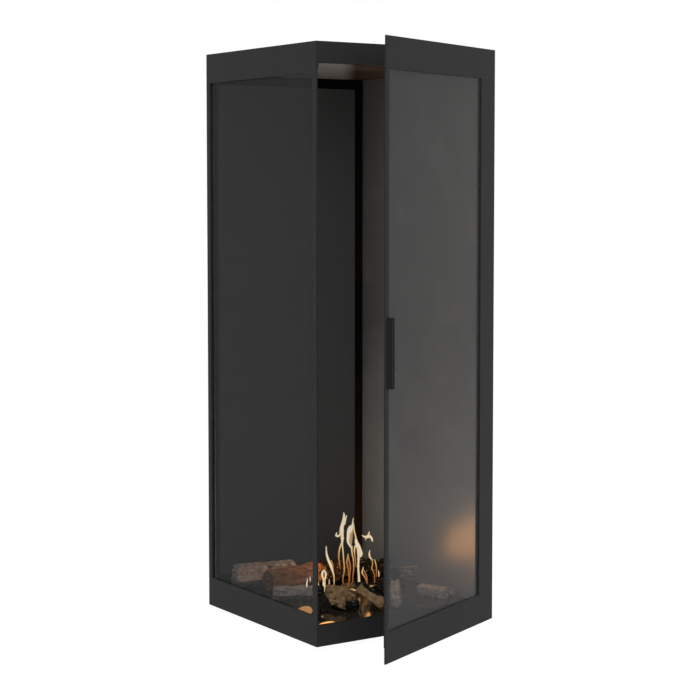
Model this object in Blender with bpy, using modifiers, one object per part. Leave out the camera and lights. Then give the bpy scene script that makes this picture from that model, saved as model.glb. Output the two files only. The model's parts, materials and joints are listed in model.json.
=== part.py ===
"""Bioethanol corner fireplace: a glazed steel cabinet with a hinged glass door, a burner and its log set.

Metres, +Z up. The origin is the centre of the footprint on the floor. The door is the front, towards -Y, and
the fixed side window faces -X. The door stands open by DOOR_OPEN, as it does at rest.
"""

import math

import bmesh
import bpy
from mathutils import Matrix, Vector, noise
from mathutils.bvhtree import BVHTree

# Cabinet
BODY_WIDTH = 0.500
BODY_DEPTH = 0.500
BODY_HEIGHT = 1.360
PLINTH_HEIGHT = 0.012
PLINTH_INSET = 0.045
PLINTH_WALL = 0.002
SHEET = 0.002
WALL_SHEET = 0.0015
FRAME_PLATE = 0.004
WINDOW_BAND = 0.070
REAR_STILE = 0.016
CORNER_POST = 0.0175
FRONT_BAND = 0.048
BAND_FLANGE = 0.012
JAMB_WIDTH = 0.050
FIREBOX_REAR_SPACE = 0.015
INLET_END = 0.0425
INLET_BRIDGE = 0.015
INLET_HEIGHT = 0.005
INLET_COUNT = 6
INLET_LEVEL = 0.026

# Side glazing
GLASS = 0.004
GLASS_LAP = 0.010
SIDE_GLASS_SETBACK = 0.0065
SIDE_GLASS_REAR_LAP = 0.008
RAIL_STRIP = 0.0025
RAIL_SHEET = 0.002
RAIL_LEG_RISE = 0.006
RAIL_CHANNEL_SETBACK = 0.020
REAR_RAIL_WEB = 0.0037
SEAL = 0.0023
SEAL_WIDTH = 0.0052
SEAL_SETBACK = 0.012

# Rear liner
LINER = 0.004
LINER_STANDOFF = 0.015
LINER_SIDE_GAP = 0.037
LINER_RAIL_HEIGHT = 0.030
LINER_RAIL_DEPTH = 0.010
LINER_TOP_GAP = 0.026
SPACER_WIDTH = 0.030
SPACER_HEIGHT = 0.030
SPACER_DROP = 0.016
SPACER_INSET = 0.045

# Hearth and burner
HEARTH_PLATE = 0.003
AIR_SLOT_WIDTH = 0.005
AIR_SLOT_PITCH = 0.0155
AIR_SLOT_COUNT = 4
AIR_SLOT_START = 0.055
AIR_SLOT_LEFT = 0.100
AIR_SLOT_RIGHT = 0.074
BEARER_FLANGE = 0.020
BEARER_SETBACK = 0.014
BURNER_X = 0.012
BURNER_Y = 0.0
TANK_LENGTH = 0.196
TANK_WIDTH = 0.070
TANK_DEPTH = 0.038
TANK_RIM = 0.008
TANK_PLAY = 0.001
FLAME_SLOT_END = 0.019
FLAME_SLOT_SIDE = 0.020
COVER_END = 0.012
COVER_FRONT = 0.010
COVER_REAR = 0.050
DRIP_TRAY_MARGIN = 0.015
DRIP_TRAY_WALL = 0.001
DRIP_TRAY_HEIGHT = 0.004
SHUTTER_END_LAP = 0.006
SHUTTER_SIDE_LAP = 0.007
SHUTTER_PARK = 0.005
SHUTTER_LIP_WIDTH = 0.040
SHUTTER_LIP_HEIGHT = 0.014
GUIDE_FOOT = 0.005
GUIDE_LIP = 0.003
GUIDE_PLAY = 0.0005

# Door
DOOR_OPEN = math.radians(24.3)
DOOR_TRIM = 0.003
DOOR_STANDOFF = 0.002
FREE_STILE = 0.012
HINGE_STILE = 0.070
DOOR_GLASS_EDGE = 0.0085
DOOR_GLASS_LAP = 0.008
DOOR_SEAL = 0.0014
DOOR_SEAL_WIDTH = 0.006
DOOR_SEAL_FREE_WIDTH = 0.002
DOOR_SEAL_EDGE = 0.0006
PANE_SEAL = 0.0008
PANE_SEAL_WIDTH = 0.005
RETAINER_SHEET = 0.0015
RETAINER_FOOT = 0.008
RETAINER_LIP = 0.006
HANDLE_LENGTH = 0.154
HANDLE_WIDTH = 0.0125
HANDLE_DEPTH = 0.015
HANDLE_GROOVE_WIDTH = 0.003
HANDLE_GROOVE_DEPTH = 0.0015
HANDLE_BEVEL = 0.0006
SCREW_SPACING = 0.100
SCREW_EDGE = 0.0055
SCREW_RADIUS = 0.0017
SCREW_LENGTH = 0.010
SCREW_HEAD_RADIUS = 0.0024
SCREW_HEAD = 0.0012
SCREW_PLAY = 0.0004

# Hinges
HINGE_INSET = 0.011
HINGE_DEPTH = 0.0015
HINGE_HEIGHT = 0.024
HINGE_END_DISTANCE = 0.150
POCKET_WIDTH = 0.026
POCKET_DEPTH = 0.020
KNUCKLE_RADIUS = 0.0032
PIN_RADIUS = 0.0017
PIN_PLAY = 0.0001
PIN_SEAT = 0.0003
PIN_HEAD_RADIUS = 0.0031
PIN_HEAD = 0.0025
LEAF = 0.002
LEAF_LEFT = 0.0135
LEAF_RIGHT = 0.0075
BRACKET = 0.003
BRACKET_ARM_RIGHT = 0.0015
BRACKET_FLANGE_LEFT = 0.013
BRACKET_FLANGE_HEIGHT = 0.030

# Fits and rounding
GAP = 0.0003
OVERRUN = 0.005
ROUND_SEGMENTS = 32

# Logs: the two ends of the centre line are shares of the clear hearth, less the log's radius, from its front
# left corner. Then come the radius, the rise from the first end to the second as a share of the radius, the
# taper at the second end, and how much of the radius a split face leaves standing.
LOG_RADIUS = 0.020
LOG_SIDES = 12
LOG_RINGS = 7
LOG_CLEARANCE = 0.0005
LOG_ROUGH_SHARE = 0.06
LOG_SHARES = {
    "log_rear_right": ((0.72, 0.87), (0.98, 0.69), 0.95, 0.0, 0.95, 1.0, "bark"),
    "log_rear_left": ((-0.04, 0.99), (0.38, 0.92), 1.60, 0.0, 0.95, 1.0, "bark"),
    "log_left": ((0.03, 0.58), (0.31, 0.44), 1.05, 0.0, 0.95, 0.6, "wood"),
    "log_charred_front": ((0.04, 0.02), (0.11, 0.17), 1.25, 0.0, 0.85, 1.0, "char"),
    "log_split_centre": ((0.17, 0.20), (0.32, 0.24), 1.35, 0.2, 1.0, 0.60, "wood"),
    "log_small_charred": ((0.26, 0.14), (0.34, 0.12), 0.62, 0.0, 0.9, 1.0, "char"),
    "log_right_middle": ((0.52, 0.21), (0.77, 0.29), 1.00, 0.0, 1.0, 1.0, "char"),
    "log_right_front": ((0.92, 0.05), (0.85, 0.24), 0.75, 0.0, 1.0, 1.0, "wood"),
    "log_far_right": ((0.93, 0.22), (0.99, 0.10), 0.55, 0.0, 0.9, 1.0, "bark"),
    "log_behind_flames": ((0.05, 0.71), (0.69, 0.77), 1.45, 0.0, 0.95, 1.0, "bark"),
    "log_diagonal": ((0.43, 0.01), (0.38, 0.19), 0.80, 2.1, 1.05, 1.0, "wood"),
    "log_front_lit": ((0.52, 0.01), (0.66, 0.22), 0.70, 2.4, 0.95, 0.6, "wood"),
    "log_upper_right": ((0.73, 0.34), (0.90, 0.33), 0.75, 0.0, 0.85, 1.0, "bark"),
}

# Places that follow from the sizes
LEFT = -BODY_WIDTH / 2
RIGHT = BODY_WIDTH / 2
FRONT = -BODY_DEPTH / 2
BACK = BODY_DEPTH / 2
BASE = PLINTH_HEIGHT
TOP = BASE + BODY_HEIGHT
HEARTH = BASE + FRONT_BAND
HEARTH_FRONT = FRONT + BAND_FLANGE
CEILING = TOP - FRONT_BAND
INNER_LEFT = LEFT + FRAME_PLATE + GAP
INNER_RIGHT = RIGHT - SHEET - GAP
INNER_BACK = BACK - SHEET - GAP
BASE_TOP = BASE + SHEET + GAP
TOP_UNDER = TOP - SHEET - GAP
JAMB = RIGHT - JAMB_WIDTH
POCKET = RIGHT - POCKET_WIDTH
REAR_WALL = BACK - FIREBOX_REAR_SPACE
RAIL_LEG = INNER_LEFT + GLASS + GAP + SEAL + GAP
RAIL_INNER = RAIL_LEG + RAIL_SHEET + GAP
SIDE_GLASS_BACK = BACK - REAR_STILE + SIDE_GLASS_REAR_LAP
GLASS_BOTTOM = BASE + WINDOW_BAND - GLASS_LAP
GLASS_TOP = TOP - WINDOW_BAND + GLASS_LAP
HINGE_X = RIGHT - HINGE_INSET
HINGE_Y = FRONT + HINGE_DEPTH
DOOR_BACK = FRONT - DOOR_STANDOFF
DOOR_FRONT = DOOR_BACK - FRAME_PLATE
PANE_FRONT = DOOR_BACK + GAP
PANE_BACK = PANE_FRONT + GLASS
DOOR_PANE_LEFT = LEFT + DOOR_GLASS_EDGE
DOOR_PANE_RIGHT = RIGHT - HINGE_STILE + DOOR_GLASS_LAP
COVER_BASE = HEARTH + GAP + WALL_SHEET + GAP
SHUTTER_BASE = COVER_BASE + WALL_SHEET + GAP
SHUTTER_TOP = SHUTTER_BASE + WALL_SHEET
TANK_BOTTOM = HEARTH - TANK_DEPTH
FLAME_SLOT_LENGTH = TANK_LENGTH - 2 * FLAME_SLOT_END
FLAME_SLOT_WIDTH = TANK_WIDTH - 2 * FLAME_SLOT_SIDE
SHUTTER_LENGTH = FLAME_SLOT_LENGTH + 2 * SHUTTER_END_LAP
SHUTTER_WIDTH = FLAME_SLOT_WIDTH + 2 * SHUTTER_SIDE_LAP
SHUTTER_STROKE = FLAME_SLOT_WIDTH + SHUTTER_SIDE_LAP + SHUTTER_PARK
SHUTTER_FRONT = BURNER_Y + FLAME_SLOT_WIDTH / 2 + SHUTTER_PARK
LINER_BACK = REAR_WALL - LINER_STANDOFF
RAIL_BACK = LINER_BACK + (LINER_RAIL_DEPTH - LINER) / 2
RAIL_FRONT = RAIL_BACK - LINER_RAIL_DEPTH


def linear(hex_colour):
    """The linear red, green, blue and alpha of an sRGB hex colour."""
    shares = [int(hex_colour[i : i + 2], 16) / 255 for i in (0, 2, 4)]
    return [s / 12.92 if s <= 0.04045 else ((s + 0.055) / 1.055) ** 2.4 for s in shares] + [1.0]


def material(name, hex_colour, roughness, metallic=0.0, transmission=0.0):
    made = bpy.data.materials.new(name)
    made.use_nodes = True
    shader = made.node_tree.nodes["Principled BSDF"]
    shader.inputs["Base Color"].default_value = linear(hex_colour)
    shader.inputs["Roughness"].default_value = roughness
    shader.inputs["Metallic"].default_value = metallic
    shader.inputs["Transmission Weight"].default_value = transmission
    made.diffuse_color = linear(hex_colour)
    return made


def clear_scene():
    for leftover in list(bpy.data.objects):
        bpy.data.objects.remove(leftover, do_unlink=True)


def collection(name):
    made = bpy.data.collections.new(name)
    bpy.context.scene.collection.children.link(made)
    return made


def add_mesh(name, bm, finish):
    """A new object of the bmesh, in the fireplace's collection."""
    mesh = bpy.data.meshes.new(name)
    bm.to_mesh(mesh)
    bm.free()
    made = bpy.data.objects.new(name, mesh)
    mesh.materials.append(finish)
    PARTS.objects.link(made)
    return made


def box_bmesh(low, high):
    bm = bmesh.new()
    bmesh.ops.create_cube(bm, size=1.0)
    size = Vector(high) - Vector(low)
    bmesh.ops.scale(bm, vec=size, verts=bm.verts)
    bmesh.ops.translate(bm, vec=(Vector(low) + Vector(high)) / 2, verts=bm.verts)
    return bm


def block(name, low, high, finish):
    return add_mesh(name, box_bmesh(low, high), finish)


def rectangle(left, bottom, right, top):
    return [(left, bottom), (right, bottom), (right, top), (left, top)]


def circle(centre_x, centre_y, radius):
    turns = [2 * math.pi * i / ROUND_SEGMENTS for i in range(ROUND_SEGMENTS)]
    return [(centre_x + radius * math.cos(a), centre_y + radius * math.sin(a)) for a in turns]


# How a flat outline stands: its two directions and the direction it is extruded in.
FACING = {
    "X": Matrix(((0, 0, 1), (1, 0, 0), (0, 1, 0))),
    "Y": Matrix(((1, 0, 0), (0, 0, -1), (0, 1, 0))),
    "Z": Matrix.Identity(3),
}


def plate(name, outlines, axis, start, end, finish):
    """A flat outline with holes, filled and extruded along an axis from start to end."""
    curve = bpy.data.curves.new(name, "CURVE")
    curve.dimensions = "2D"
    curve.fill_mode = "BOTH"
    curve.extrude = (end - start) / 2
    for points in outlines:
        spline = curve.splines.new("POLY")
        spline.points.add(len(points) - 1)
        for point, place in zip(spline.points, points):
            point.co = (*place, 0, 1)
        spline.use_cyclic_u = True
    made = bpy.data.objects.new(name, curve)
    curve.materials.append(finish)
    PARTS.objects.link(made)
    turn = FACING[axis].to_4x4()
    along = Vector([float(axis == letter) for letter in "XYZ"])
    made.matrix_world = Matrix.Translation(along * (start + end) / 2) @ turn
    return made


def as_mesh(piece):
    """The same piece as a welded mesh, so that a Boolean can work on it."""
    bpy.context.view_layer.update()
    evaluated = piece.evaluated_get(bpy.context.evaluated_depsgraph_get())
    mesh = bpy.data.meshes.new_from_object(evaluated)
    mesh.transform(piece.matrix_world)
    bm = bmesh.new()
    bm.from_mesh(mesh)
    bmesh.ops.remove_doubles(bm, verts=bm.verts, dist=GAP / 100)
    bmesh.ops.recalc_face_normals(bm, faces=bm.faces)
    bm.to_mesh(mesh)
    bm.free()
    name = piece.name
    finish = piece.data.materials[0]
    bpy.data.objects.remove(piece, do_unlink=True)
    made = bpy.data.objects.new(name, mesh)
    mesh.materials.clear()
    mesh.materials.append(finish)
    PARTS.objects.link(made)
    return made


def helper(piece):
    """Makes a piece a hidden cutter or joined shape."""
    PARTS.objects.unlink(piece)
    CUTTERS.objects.link(piece)
    piece.hide_render = True
    piece.display_type = "WIRE"
    return piece


def combine(piece, other, operation):
    modifier = piece.modifiers.new(operation.lower() + "_" + other.name, "BOOLEAN")
    modifier.operation = operation
    modifier.solver = "EXACT"
    modifier.object = helper(other)
    return piece


def cut(piece, other):
    return combine(piece, other, "DIFFERENCE")


def join(piece, other):
    return combine(piece, other, "UNION")


def turned(name, profile, place, finish):
    """A turned shape round a vertical axis: the profile runs down its outer side, from top to bottom."""
    mesh = bpy.data.meshes.new(name)
    mesh.from_pydata([(r, 0, z) for r, z in profile], [(i, i + 1) for i in range(len(profile) - 1)], [])
    mesh.materials.append(finish)
    made = bpy.data.objects.new(name, mesh)
    PARTS.objects.link(made)
    made.location = place
    spin = made.modifiers.new("spin", "SCREW")
    spin.steps = ROUND_SEGMENTS
    spin.render_steps = ROUND_SEGMENTS
    spin.use_merge_vertices = True
    spin.merge_threshold = GAP / 10
    mesh.shade_smooth()
    return made


def soften(piece, width):
    bevel = piece.modifiers.new("edge", "BEVEL")
    bevel.width = width
    bevel.segments = 2
    bevel.use_clamp_overlap = True
    return piece


def pivot(name, place, angle=0.0):
    """An empty on a joint's axis, which carries the pieces that move."""
    made = bpy.data.objects.new(name, None)
    PARTS.objects.link(made)
    made.location = place
    made.rotation_euler = (0, 0, angle)
    return made


def carry(carrier, pieces):
    """Parents pieces, drawn with the joint closed, and what cuts or joins them to its empty."""
    closed = Matrix.Translation(carrier.location).inverted()
    for piece in pieces:
        cutters = [modifier.object for modifier in piece.modifiers if modifier.type == "BOOLEAN"]
        for moved in [piece] + cutters:
            moved.parent = carrier
            moved.matrix_parent_inverse = closed


def cabinet_outline():
    """The top and base sheets: inside the frame and casings, and behind the hinge pocket."""
    front = FRONT + SHEET + GAP
    pocket_back = FRONT + POCKET_DEPTH + SHEET + GAP
    notch = POCKET - SHEET - GAP
    return [
        (INNER_LEFT, front),
        (notch, front),
        (notch, pocket_back),
        (INNER_RIGHT, pocket_back),
        (INNER_RIGHT, INNER_BACK),
        (INNER_LEFT, INNER_BACK),
    ]


def inlets():
    """The outlines of the air inlet slots, which line up from the rear casing to the rear hearth bearer."""
    end = JAMB - INLET_END
    pitch = (2 * end + INLET_BRIDGE) / INLET_COUNT
    level = BASE + INLET_LEVEL
    slots = []
    for i in range(INLET_COUNT):
        left = i * pitch - end
        slots.append(rectangle(left, level, left + pitch - INLET_BRIDGE, level + INLET_HEIGHT))
    return slots


def make_casings():
    inset_x = RIGHT - PLINTH_INSET
    inset_y = BACK - PLINTH_INSET
    plinth = block("base_plinth", (-inset_x, -inset_y, 0), (inset_x, inset_y, BASE - GAP), STEEL)
    hollow_x = inset_x - PLINTH_WALL
    hollow_y = inset_y - PLINTH_WALL
    hollow_low = (-hollow_x, -hollow_y, PLINTH_WALL)
    cut(plinth, block("plinth_hollow", hollow_low, (hollow_x, hollow_y, BASE + OVERRUN), STEEL))

    plate("base_panel", [cabinet_outline()], "Z", BASE, BASE + SHEET, STEEL)
    plate("top_panel", [cabinet_outline()], "Z", TOP - SHEET, TOP, STEEL)

    rear = [rectangle(INNER_LEFT, BASE, RIGHT, TOP)] + inlets()
    plate("rear_casing", rear, "Y", BACK - SHEET, BACK, STEEL)
    side = rectangle(FRONT + POCKET_DEPTH, BASE, INNER_BACK, TOP)
    plate("right_casing", [side], "X", RIGHT - SHEET, RIGHT, STEEL)


def make_front():
    window = [
        rectangle(FRONT, BASE, BACK, TOP),
        rectangle(FRONT + CORNER_POST, BASE + WINDOW_BAND, BACK - REAR_STILE, TOP - WINDOW_BAND),
    ]
    plate("side_window_frame", window, "X", LEFT, LEFT + FRAME_PLATE, STEEL)

    header = [
        (FRONT, CEILING),
        (FRONT + BAND_FLANGE, CEILING),
        (FRONT + BAND_FLANGE, CEILING + SHEET),
        (FRONT + SHEET, CEILING + SHEET),
        (FRONT + SHEET, TOP),
        (FRONT, TOP),
    ]
    plate("front_header", [header], "X", INNER_LEFT, JAMB - GAP, STEEL)
    sill = [
        (FRONT, BASE),
        (FRONT + SHEET, BASE),
        (FRONT + SHEET, HEARTH - SHEET),
        (FRONT + BAND_FLANGE, HEARTH - SHEET),
        (FRONT + BAND_FLANGE, HEARTH),
        (FRONT, HEARTH),
    ]
    plate("front_sill", [sill], "X", INNER_LEFT, JAMB - GAP, STEEL)
    back = FRONT + POCKET_DEPTH
    jamb = [
        (JAMB, FRONT),
        (POCKET, FRONT),
        (POCKET, back),
        (INNER_RIGHT, back),
        (INNER_RIGHT, back + SHEET),
        (POCKET - SHEET, back + SHEET),
        (POCKET - SHEET, FRONT + SHEET),
        (JAMB, FRONT + SHEET),
    ]
    plate("hinge_jamb", [jamb], "Z", BASE, TOP, STEEL)


def make_glass_rail(name, level, inward):
    """A channel along the pane's top or bottom edge. Inward is the direction, up or down, to the pane."""
    pane_edge = (GLASS_BOTTOM if inward > 0 else GLASS_TOP) - inward * GAP
    strip_ends = sorted((level, pane_edge))
    back = SIDE_GLASS_BACK - SEAL_WIDTH - GAP
    low = (INNER_LEFT, FRONT, strip_ends[0])
    strip = block(name, low, (INNER_LEFT + RAIL_STRIP, back, strip_ends[1]), DARK_STEEL)
    foot = level + inward * RAIL_SHEET
    leg_end = pane_edge + inward * RAIL_LEG_RISE
    channel = [
        (INNER_LEFT, level),
        (RAIL_LEG + RAIL_SHEET, level),
        (RAIL_LEG + RAIL_SHEET, leg_end),
        (RAIL_LEG, leg_end),
        (RAIL_LEG, foot),
        (INNER_LEFT, foot),
    ]
    shape = plate(name + "_channel", [channel], "Y", FRONT + RAIL_CHANNEL_SETBACK, back, DARK_STEEL)
    return join(strip, as_mesh(shape))


def make_side_glazing():
    pane = rectangle(FRONT + SIDE_GLASS_SETBACK, GLASS_BOTTOM, SIDE_GLASS_BACK, GLASS_TOP)
    plate("side_glass", [pane], "X", INNER_LEFT, INNER_LEFT + GLASS, GLASS_FINISH)

    front = FRONT + SEAL_SETBACK
    outer = rectangle(front, GLASS_BOTTOM, SIDE_GLASS_BACK, GLASS_TOP)
    inner = rectangle(
        front + SEAL_WIDTH,
        GLASS_BOTTOM + SEAL_WIDTH,
        SIDE_GLASS_BACK - SEAL_WIDTH,
        GLASS_TOP - SEAL_WIDTH,
    )
    start = INNER_LEFT + GLASS + GAP
    plate("side_glass_seal", [outer, inner], "X", start, start + SEAL, SEAL_FINISH)

    make_glass_rail("side_glass_rail_bottom", HEARTH, 1)
    make_glass_rail("side_glass_rail_top", CEILING, -1)
    web = SIDE_GLASS_BACK + GAP
    leg_front = SIDE_GLASS_BACK - SEAL_WIDTH
    rear_rail = [
        (INNER_LEFT, web),
        (RAIL_LEG, web),
        (RAIL_LEG, leg_front),
        (RAIL_LEG + RAIL_SHEET, leg_front),
        (RAIL_LEG + RAIL_SHEET, web + REAR_RAIL_WEB),
        (INNER_LEFT, web + REAR_RAIL_WEB),
    ]
    plate("side_glass_rail_rear", [rear_rail], "Z", HEARTH, CEILING, DARK_STEEL)


def make_firebox():
    rear = [rectangle(RAIL_INNER, BASE_TOP, JAMB - GAP, TOP_UNDER)] + inlets()
    plate("firebox_rear_wall", rear, "Y", REAR_WALL, REAR_WALL + WALL_SHEET, FIREBOX)
    right = rectangle(FRONT + SHEET + GAP, BASE_TOP, REAR_WALL + WALL_SHEET, TOP_UNDER)
    plate("firebox_right_wall", [right], "X", JAMB, JAMB + WALL_SHEET, FIREBOX)
    ceiling = rectangle(RAIL_INNER, HEARTH_FRONT + GAP, JAMB - GAP, REAR_WALL - GAP)
    plate("firebox_ceiling", [ceiling], "Z", CEILING, CEILING + WALL_SHEET, GLOSS_BLACK)


def make_liner():
    left = RAIL_INNER + WALL_SHEET
    right = JAMB - LINER_SIDE_GAP
    rail_top = HEARTH + GAP + LINER_RAIL_HEIGHT
    top = CEILING - LINER_TOP_GAP
    panel = rectangle(left, rail_top + GAP, right, top)
    plate("rear_liner", [panel], "Y", LINER_BACK - LINER, LINER_BACK, LINER_FINISH)
    rail = block("liner_rail", (left, RAIL_FRONT, HEARTH + GAP), (right, RAIL_BACK, rail_top), STEEL)
    hollow_low = (left - OVERRUN, RAIL_FRONT + RAIL_SHEET, HEARTH + GAP + RAIL_SHEET)
    hollow_high = (right + OVERRUN, RAIL_BACK - RAIL_SHEET, rail_top - RAIL_SHEET)
    cut(rail, block("rail_hollow", hollow_low, hollow_high, STEEL))
    spacer_top = top - SPACER_DROP
    for side, start in (
        ("left", left + SPACER_INSET),
        ("right", right - SPACER_INSET - SPACER_WIDTH),
    ):
        block(
            "liner_spacer_" + side,
            (start, LINER_BACK + GAP, spacer_top - SPACER_HEIGHT),
            (start + SPACER_WIDTH, REAR_WALL - GAP, spacer_top),
            STEEL,
        )


def centred(length, width):
    """A rectangle of this size round the burner's middle."""
    return rectangle(
        BURNER_X - length / 2, BURNER_Y - width / 2, BURNER_X + length / 2, BURNER_Y + width / 2
    )


def make_hearth():
    outline = rectangle(RAIL_INNER, HEARTH_FRONT + GAP, JAMB - GAP, REAR_WALL - GAP)
    holes = [centred(TANK_LENGTH + 2 * TANK_PLAY, TANK_WIDTH + 2 * TANK_PLAY)]
    for i in range(AIR_SLOT_COUNT):
        start = FRONT + AIR_SLOT_START + i * AIR_SLOT_PITCH
        holes.append(
            rectangle(LEFT + AIR_SLOT_LEFT, start, JAMB - AIR_SLOT_RIGHT, start + AIR_SLOT_WIDTH)
        )
    under = HEARTH - HEARTH_PLATE
    plate("hearth_plate", [outline] + holes, "Z", under, HEARTH, GLOSS_BLACK)

    top = under - GAP
    for place, front in (
        ("front", FRONT + BEARER_SETBACK),
        ("rear", REAR_WALL - BEARER_SETBACK - BEARER_FLANGE),
    ):
        back = front + BEARER_FLANGE
        channel = [
            (front, BASE_TOP),
            (back, BASE_TOP),
            (back, BASE_TOP + SHEET),
            (front + SHEET, BASE_TOP + SHEET),
            (front + SHEET, top - SHEET),
            (back, top - SHEET),
            (back, top),
            (front, top),
        ]
        bearer = plate("hearth_bearer_" + place, [channel], "X", RAIL_INNER, JAMB - GAP, STEEL)
    bearer = as_mesh(bearer)
    start = front - OVERRUN
    end = front + SHEET + OVERRUN
    for i, slot in enumerate(inlets()):
        cut(bearer, as_mesh(plate("bearer_inlet_" + str(i), [slot], "Y", start, end, STEEL)))


def make_burner():
    rim_base = HEARTH + GAP
    rim_top = rim_base + WALL_SHEET
    half_length = TANK_LENGTH / 2
    half_width = TANK_WIDTH / 2
    low = (BURNER_X - half_length, BURNER_Y - half_width, TANK_BOTTOM)
    high = (BURNER_X + half_length, BURNER_Y + half_width, rim_top)
    tank = block("burner_tank", low, high, STAINLESS)
    rim_outline = centred(TANK_LENGTH + 2 * TANK_RIM, TANK_WIDTH + 2 * TANK_RIM)
    join(tank, as_mesh(plate("tank_rim", [rim_outline], "Z", rim_base, rim_top, STAINLESS)))
    inside_low = (low[0] + WALL_SHEET, low[1] + WALL_SHEET, TANK_BOTTOM + WALL_SHEET)
    inside_high = (high[0] - WALL_SHEET, high[1] - WALL_SHEET, rim_top + OVERRUN)
    cut(tank, block("tank_inside", inside_low, inside_high, STAINLESS))

    wool_low = [value + GAP for value in inside_low]
    block("burner_wool", wool_low, (inside_high[0] - GAP, inside_high[1] - GAP, rim_top), WOOL)

    cover = rectangle(
        BURNER_X - half_length - COVER_END,
        BURNER_Y - half_width - COVER_FRONT,
        BURNER_X + half_length + COVER_END,
        BURNER_Y + half_width + COVER_REAR,
    )
    slot = centred(FLAME_SLOT_LENGTH, FLAME_SLOT_WIDTH)
    plate("burner_cover", [cover, slot], "Z", COVER_BASE, COVER_BASE + WALL_SHEET, STAINLESS)

    margin = DRIP_TRAY_MARGIN
    tray_low = (low[0] - margin, low[1] - margin, BASE_TOP)
    tray_high = (high[0] + margin, high[1] + margin, BASE_TOP + DRIP_TRAY_HEIGHT)
    tray = block("drip_tray", tray_low, tray_high, STAINLESS)
    wall = DRIP_TRAY_WALL
    pan_low = (tray_low[0] + wall, tray_low[1] + wall, BASE_TOP + wall)
    pan_high = (tray_high[0] - wall, tray_high[1] - wall, tray_high[2] + OVERRUN)
    cut(tray, block("drip_pan", pan_low, pan_high, STAINLESS))


def make_shutter():
    """The sliding plate behind the flame slot and the two guides that hold it down."""
    back = BURNER_Y + TANK_WIDTH / 2 + COVER_REAR
    lip_base = SHUTTER_TOP + GUIDE_PLAY
    for side, sign in (("left", -1), ("right", 1)):
        inner = BURNER_X + sign * (SHUTTER_LENGTH / 2 + GAP)
        foot = inner + sign * GUIDE_FOOT
        lip = inner - sign * (GUIDE_LIP + GAP)
        guide = [
            (inner, SHUTTER_BASE),
            (foot, SHUTTER_BASE),
            (foot, lip_base + WALL_SHEET),
            (lip, lip_base + WALL_SHEET),
            (lip, lip_base),
            (inner, lip_base),
        ]
        plate("shutter_guide_" + side, [guide], "Y", SHUTTER_FRONT - SHUTTER_STROKE, back, STAINLESS)
    half = SHUTTER_LENGTH / 2
    slide = block(
        "burner_shutter",
        (BURNER_X - half, SHUTTER_FRONT, SHUTTER_BASE),
        (BURNER_X + half, SHUTTER_FRONT + SHUTTER_WIDTH, SHUTTER_TOP),
        STAINLESS,
    )
    half_lip = SHUTTER_LIP_WIDTH / 2
    lip_low = (BURNER_X - half_lip, SHUTTER_FRONT, SHUTTER_BASE)
    lip_high = (BURNER_X + half_lip, SHUTTER_FRONT + WALL_SHEET, SHUTTER_BASE + SHUTTER_LIP_HEIGHT)
    join(slide, block("shutter_lip", lip_low, lip_high, STAINLESS))
    carry(pivot("shutter_origin", (BURNER_X, SHUTTER_FRONT, SHUTTER_BASE)), [slide])


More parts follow.
